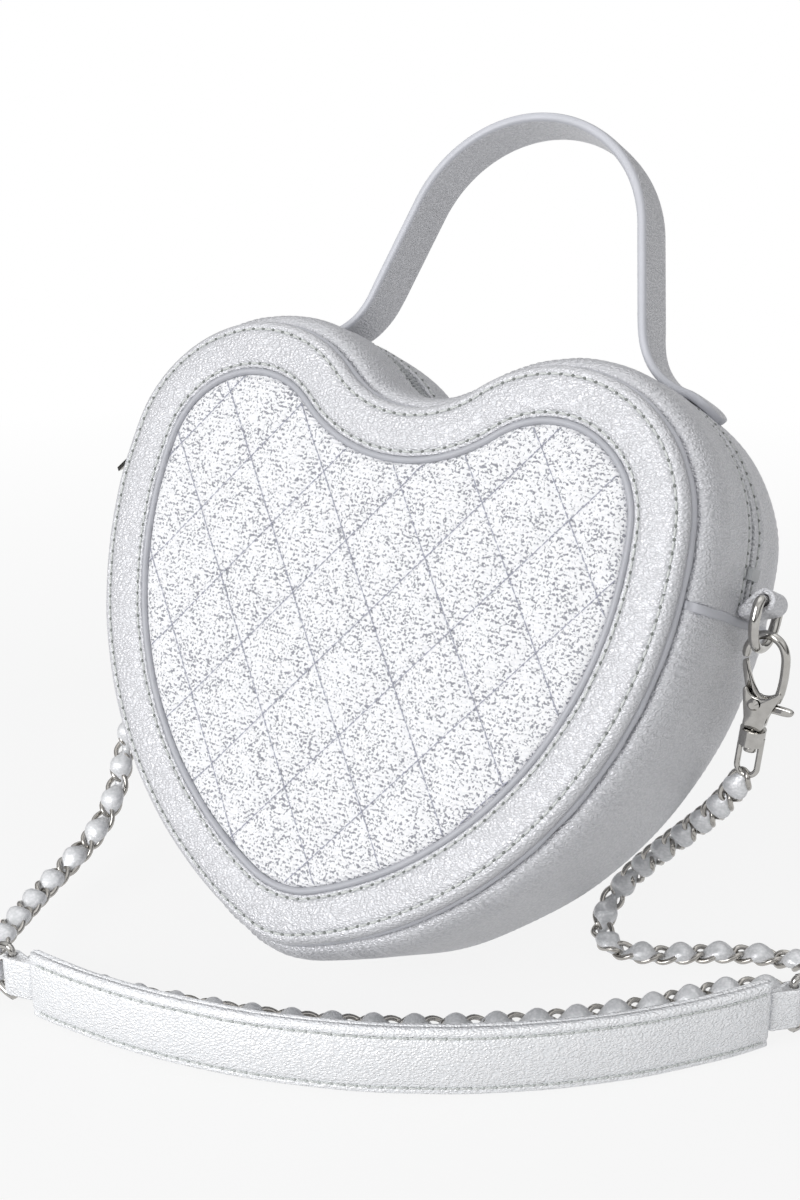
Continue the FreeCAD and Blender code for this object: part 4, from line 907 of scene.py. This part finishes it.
# outline of the loop and its hole, with matching points, then both swept across the width
def loopRows(size, count=72):
    big = size["hole"] + size["leather"]
    tail = np.array(size["tail"])
    along = math.atan2(tail[1], tail[0])
    spread = math.acos((big - size["leather"]) / np.hypot(*tail))
    turn = roundTurn(count) + along
    ring = np.stack([np.cos(turn), np.sin(turn)], -1)
    away = (turn - along + math.pi) % fullTurn - math.pi
    atTail = (np.abs(away) < spread)[:, None]
    outer = np.where(atTail, tail + size["leather"] * ring, big * ring)
    half = size["width"] / 2
    rims = [(inset, fromEdge - half) for inset, fromEdge in loopRim] + [(0, 0)]
    rims += [(inset, half - fromEdge) for inset, fromEdge in loopRim[::-1]]
    rows = [np.column_stack([outer * (1 - inset / big), np.full(count, across)]) for inset, across in rims]
    rows += [np.column_stack([size["hole"] * ring, np.full(count, across)]) for across in (half, -half)]
    return np.array(rows)


def makeRingLoops():
    rows = loopRows(ringLoop)
    foldX = bag["width"] / 2 + ringLoop["reach"]
    foldZ = seamLevel + ringLoop["rise"]
    for side, hand in hands:
        x = hand * (foldX + rows[..., 0])
        placed = bagPoints(x, bag["depth"] / 2 + rows[..., 2], foldZ + rows[..., 1])
        bagPiece("ringLoop" + side, placed, silverLeather, "silver_leather", "ring_tab_" + side.lower())


makeRingLoops()

# SHOULDER PAD of the strap, standing on its edge in a bow
pad = {"centre": (-63.0, 125.0), "radius": 220.0, "layer": 2.4, "length": 234.0, "height": 22.0,
       "facing": -60.5, "columns": 240, "rim": 0.7, "rimReach": 1.6, "crown": 0.7, "crownReach": 6,
       "stitchIn": 2.6, "groove": (0.4, 0.6), "threadUnder": 0.25, "seamEnd": 2.5, "slack": (0.1, 15, 40),
       "sway": (0.12, 40, 90), "pitch": 3.6, "strand": 2.8, "thread": 0.6}
# rows of the mesh up from the lower edge, closest at the edges and the stitches
padRim = np.array([0.05, 0.3, 0.8, 1.5, 2.2, 2.6, 3, 3.8])
padMiddle = np.linspace(5, pad["height"] - 5, 10)
padHeights = np.concatenate([padRim, padMiddle, pad["height"] - padRim[::-1]])


# points on the pad: angle along the bow, radius and height to metres
def padPoints(angle, radius, height):
    x = pad["centre"][0] + radius * np.cos(angle)
    y = pad["centre"][1] + radius * np.sin(angle)
    return np.stack(np.broadcast_arrays(x, y, height), -1) * mm


def padCrown(height):
    return pad["crown"] * math.sin(math.pi * height / pad["height"]) ** 2


def makePad():
    half = pad["length"] / pad["radius"] / 2
    facing = math.radians(pad["facing"])
    angle = np.linspace(facing - half, facing + half, pad["columns"])
    middle = pad["radius"] - pad["layer"]
    for name, node, way, seed in (("padFace", "pad_face", 1, 81), ("padBacking", "pad_backing", -1, 82)):
        makePadLayer(name, node, way, seed, angle, middle)
    makePadLoops(facing, half, middle)


def makePadLayer(name, node, way, seed, angle, middle):
    along = (angle - angle[0]) * pad["radius"]
    fromEnd = np.minimum(along, along[-1] - along)
    tall = pad["height"]
    slack = ripple(along, seed, *pad["slack"])
    sway = ripple(along, seed + 5, *pad["sway"])
    rows = []
    for height in padHeights:
        near = min(height, tall - height)
        edge = swell(np.minimum(near, fromEnd), pad["rimReach"])
        puff = padCrown(height) * np.clip(fromEnd / pad["crownReach"], 0, 1)
        groove = bell(near - pad["stitchIn"], *pad["groove"])
        thick = pad["rim"] + (pad["layer"] - pad["rim"]) * edge
        thick = thick + puff - groove + slack
        rows.append(padPoints(angle, middle + way * thick, height + sway * height / tall))
    rows += [padPoints(angle, middle, height) for height in padHeights[::-1]]
    # painted light: the pad takes the lighter copy of the bag leather
    strip = bagPiece(name, rows, padLitLeather, "silver_leather", node, ring=False)
    out = np.stack([np.cos(angle), np.sin(angle), 0 * angle], -1) * way
    keep = fromEnd > pad["seamEnd"]
    for edgeName, height in (("Top", tall - pad["stitchIn"]), ("Low", pad["stitchIn"])):
        thick = pad["layer"] - pad["threadUnder"] + padCrown(height) + slack
        line = padPoints(angle, middle + way * thick, height)
        sewnSeam(name + "Stitches" + edgeName, line[keep], out[keep], pad, padHoleShade)


def makePadLoops(facing, half, middle):
    rows = loopRows(padLoop)
    for side, hand in hands:
        end = facing + hand * half
        away = np.array([math.cos(end), math.sin(end)])
        forward = hand * np.array([-away[1], away[0]])
        aside = np.array([-forward[1], forward[0]])
        base = np.array(pad["centre"]) + middle * away + forward * padLoop["reach"]
        flat = base + rows[..., :1] * forward + rows[..., 1:2] * aside
        placed = np.concatenate([flat, rows[..., 2:] + pad["height"] / 2], -1) * mm
        # painted light: the pad loops take the lighter copy of the bag leather
        bagPiece("padLoop" + side, placed, padLitLeather, "silver_leather", "pad_tab_" + side.lower())


makePad()
print("shoulder pad and loops made")

# CHAIN: twisted curb links with a leather lace woven through, each puff of it over a pair of links
chain = {"width": 8.0, "wire": 1.7, "link": 10.8, "pitch": 6.2, "twist": 42, "around": 28, "sides": 9,
         "lace": 7.8, "laceThick": 4.8, "laceSides": 12, "laceSteps": 8, "flatness": 0.7, "linksPerPuff": 2,
         "pillow": 1.15, "weave": 1.7, "over": 1.5, "under": 0.8, "pinched": 0.32, "plump": 0.7}
# routes are those of the solid model, in millimetres, from a hook or a ring to a ring of the pad
routes = {
    "chain_right": [
        (108.52, 26.506, 80.52), (101, 31, 67), (89, 39, 52), (76, 44, 37), (64.5, 48, 22.5), (58, 46, 11.5),
        (59, 37.5, 5.2), (66, 31, 4.2), (76, 32.5, 4.2), (86, 39, 4.2), (96, 47, 4.2), (107, 53, 4.2),
        (119, 54, 5.7), (129, 48, 10.4), (134.2, 33.4, 15.3)],
    "chain_left": [
        (-108.52, 26.506, 80.52), (-112, 17, 69), (-112, 7, 54), (-108, -4, 40), (-104, -14, 29),
        (-103, -25, 20), (-104, -38, 14), (-102, -52, 12), (-97, -66, 12.5), (-91, -80, 14),
        (-85.7, -91.2, 15.3)],
    "chain_middle": [
        (134.2, 33.4, 6.7), (127, 38, 5), (118, 38, 4.4), (109, 32, 4.2), (100, 20, 4.2), (90, 7, 4.2),
        (78, -7, 4.2), (64, -20, 4.2), (48, -33, 4.2), (30, -45, 4.2), (10, -56, 4.2), (-12, -65, 4.2),
        (-34, -72, 4.2), (-54, -77, 4.4), (-69, -79, 4.8), (-80.5, -81.5, 5.8), (-85.7, -91.2, 6.7)],
}


# the smooth line that a route gives, read from its own spline
def routeLine(name):
    curve = bpy.data.curves.new(name + "Route", "CURVE")
    curve.dimensions = "3D"
    spline = curve.splines.new("NURBS")
    spline.points.add(len(routes[name]) - 1)
    for point, place in zip(spline.points, routes[name]):
        point.co = (*[part * mm for part in place], 1)
    spline.order_u = 3
    spline.use_endpoint_u = True
    spline.resolution_u = 16
    holder = bpy.data.objects.new(name + "Route", curve)
    mesh = bpy.data.meshes.new_from_object(holder)
    line = np.array([tuple(vertex.co) for vertex in mesh.vertices])
    bpy.data.objects.remove(holder)
    bpy.data.meshes.remove(mesh)
    return line


# places along a line, with a frame that turns as little as it can: place, ahead, up and aside
def alongLine(line, places, count=600, firstUp=(0.4, -0.6, 0.7)):
    run = runAlong(line)
    fine = np.linspace(0, run[-1], count)
    spine = readOff(fine, run, line)
    ahead = unit(np.gradient(spine, axis=0))
    ups = [np.array(firstUp)]
    for heading in ahead:
        ups.append(unit(ups[-1] - heading * (ups[-1] @ heading)))
    forward = unit(readOff(places, fine, ahead))
    upward = unit(readOff(places, fine, np.array(ups[1:])))
    return readOff(places, fine, spine), forward, upward, np.cross(forward, upward)


# one link, lying along x: a ring of wire twisted so that the next link lies flat in it
def linkPoints():
    halfLong = (chain["link"] - chain["wire"]) / 2
    halfWide = (chain["width"] - chain["wire"]) / 2
    turn = roundTurn(chain["around"])
    lie = math.radians(chain["twist"]) * np.cos(turn)
    across = halfWide * np.sin(turn)
    spine = np.stack([halfLong * np.cos(turn), across * np.cos(lie), across * np.sin(lie)], -1)
    ahead = unit(np.roll(spine, -1, axis=0) - np.roll(spine, 1, axis=0))
    out = unit(spine)
    out = unit(out - ahead * np.sum(out * ahead, axis=1, keepdims=True))
    side = np.cross(ahead, out)
    turn = roundTurn(chain["sides"])[:, None]
    ring = np.cos(turn) * out[:, None, :] + np.sin(turn) * side[:, None, :]
    return spine[:, None, :] + chain["wire"] / 2 * ring


# lace: a pillow over one pair of links, then a short dive between it and the next
def lacePoints(line, steps):
    spine, ahead, up, side = alongLine(line, steps)
    phase = steps / (chain["pitch"] * chain["linksPerPuff"] * mm) * math.pi
    pillow = np.abs(np.sin(phase)) ** chain["pillow"]
    lift = chain["weave"] * (chain["over"] * pillow - chain["under"])
    plump = chain["pinched"] + chain["plump"] * pillow
    lines = []
    for angle in roundTurn(chain["laceSides"]):
        across = squared(math.cos(angle), chain["flatness"]) * chain["lace"] / 2 * plump
        rise = lift + math.sin(angle) * chain["laceThick"] / 2 * plump
        lines.append(spine + (side * across[:, None] + up * rise[:, None]) * mm)
    return np.array(lines)


def makeChain(side):
    name = "chain_" + side
    line = routeLine(name)
    total = runAlong(line)[-1]
    count = round((total / mm - chain["link"] + 2 * chain["wire"]) / chain["pitch"])
    first = (chain["link"] / 2 - chain["wire"]) * mm
    spine, *axes = alongLine(line, np.linspace(first, total - first, count))
    ahead, up, aside = [axis[:, None, None, :] for axis in axes]
    link = linkPoints() * mm
    links = spine[:, None, None, :] + link[..., 0:1] * ahead + link[..., 1:2] * aside + link[..., 2:3] * up
    index = np.arange(links[..., 0].size).reshape(links.shape[:-1])
    linkFaces = tubeFaces(np.concatenate([index, index[:, :1]], axis=1))
    lace = lacePoints(line, np.linspace(0, total, count * chain["laceSteps"]))
    index = index.size + np.arange(lace[..., 0].size).reshape(lace.shape[:-1])
    after = np.roll(index, -1, axis=0)
    laceFaces = np.stack([index[:, :-1], after[:, :-1], after[:, 1:], index[:, 1:]], -1).reshape(-1, 4)
    laceFaces = laceFaces.tolist() + [index[:, 0].tolist(), index[::-1, -1].tolist()]
    points = np.vstack([links.reshape(-1, 3), lace.reshape(-1, 3)])
    piece = meshPiece("lacedChain" + side.capitalize(), points, linkFaces + laceFaces, chainNickel)
    piece.data.materials.append(laceLeather)
    piece.data.polygons.foreach_set("material_index", [0] * len(linkFaces) + [1] * len(laceFaces))
    dress(piece, "bag", "nickel_chain", name)
    print(name, "line", round(total / mm, 1), "mm,", count, "links")


makeChain("right")
makeChain("left")
makeChain("middle")

# SWIVEL HOOKS: a cast bow between two cheeks, and the sprung gate that shuts against its nose
hookShape = {"base": (110.675, 26.503, 105.123), "tilt": 5.0, "wire": 1.3, "nose": 0.78, "noseShare": 12,
             "cheek": 1.0, "cheekAt": 1.5, "block": 3.9, "gate": 1.7, "pivot": (-0.5, -1.0), "pinHole": 1.1,
             "rim": 0.45, "rimShare": 0.3, "rimSteps": 4, "sides": 14}
# outlines in the flat of the hook, millimetres from the swivel axis
bowSpine = [(5.3, 1.2), (5.8, 3.2), (6.15, 6), (6.2, 10), (5.6, 15.4), (3.5, 18.9), (0, 20.2), (-3.6, 18.9),
            (-5.5, 15.6), (-5.8, 13.6), (-5.75, 12.1)]
cheekEdge = [(-2.5, -8.5), (2.5, -8.5), (3.7, -4.6), (5.7, 0.4), (6.8, 3.2), (6.3, 4.5), (4.7, 3), (2.4, 1.4),
             (-0.4, 1), (-2.4, 1.9), (-3.6, 3.3), (-4.5, 2.6), (-3.9, -1.2), (-3, -5.6)]
blockEdge = [(-2.5, -9), (0, -9.05), (2.5, -9), (3.1, -6.8), (0, -6), (-2.7, -6.8)]
gateEdge = [(-2.3, -1.2), (0, -2.3), (4.5, -1.8), (9.6, -1.4), (11.3, -0.3), (10.2, 0.9), (5, 0.9),
            (1.8, 1.6), (-1, 4.6), (-3.3, 9), (-4.4, 12.2), (-5.2, 12.1), (-5.9, 11.2), (-5.2, 8.2),
            (-3.8, 3.8), (-2.7, 0.6)]
# the swivel post with its head: heights and radii
postHeights = (-8.6, -14.7, -14.8, -16.5, -16.6)
postRadii = (1.48, 1.48, 1.9, 1.9, 1.5)


# a smooth curve through corners, closed or open
def smoothLine(corners, closed, steps=6):
    corners = np.array(corners, float)
    count = len(corners)
    points = []
    for number in range(count if closed else count - 1):
        around = np.arange(number - 1, number + 3)
        before, a, b, after = corners[around % count if closed else np.clip(around, 0, count - 1)]
        for t in np.linspace(0, 1, steps, endpoint=False):
            cubic = t * (3 * (a - b) + after - before)
            points.append(a + 0.5 * t * (b - before + t * (2 * before - 5 * a + 4 * b - after + cubic)))
    if not closed:
        points.append(corners[-1])
    return np.array(points)


# a flat cast part with rounded rims: outline in x and z, middle of its thickness at one y
def castPlate(edge, thick, y):
    line = smoothLine(edge, True)
    ahead = unit(np.roll(line, -1, axis=0) - np.roll(line, 1, axis=0))
    inward = np.stack([-ahead[:, 1], ahead[:, 0]], -1)
    rim = min(hookShape["rim"], thick * hookShape["rimShare"])
    rows = []
    for side in (1, -1):
        for turn in np.linspace(0, math.pi / 2, hookShape["rimSteps"])[::side]:
            flat = line + inward * rim * (1 - math.sin(turn))
            height = y - side * (thick / 2 - rim + rim * math.cos(turn))
            rows.append(np.stack([flat[:, 0], np.full(len(line), height), flat[:, 1]], -1))
    return rows


# round bar along a line of points in x and z, with one radius for each point
def castBar(line, radii):
    turn = roundTurn(hookShape["sides"])
    rows = []
    for point, heading, radius in zip(line, unit(np.gradient(line, axis=0)), radii):
        across = radius * np.cos(turn)
        x = point[0] + heading[1] * across
        z = point[1] - heading[0] * across
        rows.append(np.stack([x, radius * np.sin(turn), z], -1))
    return rows


# from the flat of the hook to its place: the left hook is the right one turned half round
def hookPlace(points, hand):
    x, y, z = np.moveaxis(np.asarray(points), -1, 0)
    tilt = math.radians(hand * hookShape["tilt"])
    baseX, baseY, baseZ = hookShape["base"]
    return mm * np.stack([hand * (baseX + x * math.cos(tilt)) + z * math.sin(tilt), baseY + hand * y,
                          baseZ - hand * x * math.sin(tilt) + z * math.cos(tilt)], -1)


# closed skins, each a stack of loops with a cap at both ends, as one mesh
def castPiece(name, skins, hand):
    points = []
    faces = []
    for rows in skins:
        index = len(points) + np.arange(len(rows) * len(rows[0])).reshape(len(rows), -1)
        faces += tubeFaces(index) + [index[0, ::-1].tolist(), index[-1].tolist()]
        points += np.concatenate(rows).tolist()
    return meshPiece(name, hookPlace(points, hand), faces, nickel)


# the gate is bored for its pin, so its skin runs through the hole and closes on itself
def gateRows():
    rows = castPlate(gateEdge, hookShape["gate"], 0)
    turn = np.arctan2(rows[0][:, 2], rows[0][:, 0])
    hole = hookShape["pinHole"]
    for y in (hookShape["gate"] / 2, -hookShape["gate"] / 2):
        rows.append(np.stack([hole * np.cos(turn), np.full_like(turn, y), hole * np.sin(turn)], -1))
    pivotX, pivotZ = hookShape["pivot"]
    return np.array(rows) + np.array([pivotX, 0, pivotZ])


def makeHooks():
    bow = smoothLine(bowSpine, False)
    fromNose = np.clip(np.linspace(1, 0, len(bow)) * hookShape["noseShare"], 0, 1)
    bowRadii = hookShape["wire"] * (hookShape["nose"] + (1 - hookShape["nose"]) * fromNose)
    post = np.array([(0, height) for height in postHeights])
    hook = [castBar(bow, bowRadii), castBar(post, postRadii), castPlate(blockEdge, hookShape["block"], 0)]
    hook += [castPlate(cheekEdge, hookShape["cheek"], way * hookShape["cheekAt"]) for way in (1, -1)]
    for side, hand in hands:
        low = side.lower()
        dress(castPiece("swivelHook" + side, hook, hand), "hook_" + low, "nickel", "hook_" + low)
        rows = hookPlace(gateRows(), hand)
        gate = gridPiece("hookGate" + side, rows, nickel, wrapAcross=True, wrapAlong=True)
        dress(gate, "gate_" + low, "nickel", "hook_gate_" + low)


makeHooks()
print("hooks made")

# METAL AND BOARD that stay as the solid model has them
kept = {coilNylon: ("zip_stops",),
        nickel: ("zip_slider", "zip_pull", "d_ring_left", "d_ring_right", "hook_pivot_left",
                 "hook_pivot_right", "swivel_eye_left", "swivel_eye_right", "pad_ring_left",
                 "pad_ring_right"),
        board: ("front_backing", "rear_backing")}
for material, nodes in kept.items():
    for node in nodes:
        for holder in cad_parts[node].material_slots:
            holder.material = material
print("fittings finished")

# STAGE: pale floor and soft light; metres, and each lamp's place, size and watts
stage = {"floor": 120.0, "sunk": 0.0004, "aim": (0, 0.02, 0.1), "sky": 0.45}
lamps = {"keyLight": ((-0.25, -1.25, 0.62), (0.9, 0.7), 13.7),
         "fillLight": ((1.0, -0.5, 0.5), (0.9, 0.9), 0.9),
         "topLight": ((0.1, 0.2, 1.25), (1.0, 1.0), 2.0)}


# painted studio floor: takes the bag's shadow, and fades to plain white away from it
def paleSweep():
    material, add, place = newMaterial("paleFloor")
    ray = add("LightPath")
    seen = add("Math", {0: ray.outputs["Is Camera Ray"], 1: ray.outputs["Is Glossy Ray"],
                        "operation": "MAXIMUM"})
    away = add("VectorMath", {0: place, "operation": "LENGTH"})
    fade = add("MapRange", {"Value": away.outputs["Value"], "From Min": 0.25, "From Max": 0.7,
                            "To Min": 0.87, "To Max": 1.0})
    share = add("Math", {0: seen, 1: fade, "operation": "MULTIPLY"})
    paint = add("BsdfDiffuse", {"Color": linear("#c2c2c2")})
    glow = add("Emission", {"Color": (1, 1, 1, 1), "Strength": 1.0})
    mix = add("MixShader", {0: share, 1: paint, 2: glow})
    add("OutputMaterial", {"Surface": mix})
    return material


def softBox(name, place, size, watts):
    data = bpy.data.lights.new(name, "AREA")
    data.shape = "RECTANGLE"
    data.size, data.size_y = size
    data.energy = watts
    lamp = bpy.data.objects.new(name, data)
    scene.collection.objects.link(lamp)
    lamp.location = place
    lamp.rotation_euler = (Vector(stage["aim"]) - Vector(place)).to_track_quat("-Z", "Y").to_euler()


def makeSky():
    world = bpy.data.worlds.new("studio")
    scene.world = world
    world.use_nodes = True
    world.node_tree.nodes.clear()
    add = partial(addNode, world.node_tree)
    ray = add("LightPath")
    seen = add("Math", {0: ray.outputs["Is Camera Ray"], 1: ray.outputs["Is Transmission Ray"],
                        "operation": "MAXIMUM"})
    # polished metal mirrors a dark room below the lamps, all else gets an even light
    place = add("TexCoord").outputs["Generated"]
    height = add("SeparateXYZ", {0: place})
    room = add("MapRange", {"Value": height.outputs["Z"], "From Min": 0.1, "From Max": 0.6, "To Min": 0.06,
                            "To Max": 0.9})
    shine = add("Mix", {0: ray.outputs["Is Glossy Ray"], 3: room, 2: stage["sky"]})
    strength = add("Mix", {0: seen, 2: shine, 3: 1.0})
    sky = add("Background", {"Strength": strength, "Color": (1, 1, 1, 1)})
    add("OutputWorld", {"Surface": sky})


def makeStage():
    half = stage["floor"] / 2
    corners = [(x * half, y * half, -stage["sunk"]) for x, y in ((-1, -1), (1, -1), (1, 1), (-1, 1))]
    floor = meshPiece("paleFloor", corners, [[0, 1, 2, 3]], paleSweep())
    for name, (place, size, watts) in lamps.items():
        softBox(name, place, size, watts)
    makeSky()


makeStage()
print("stage lit")
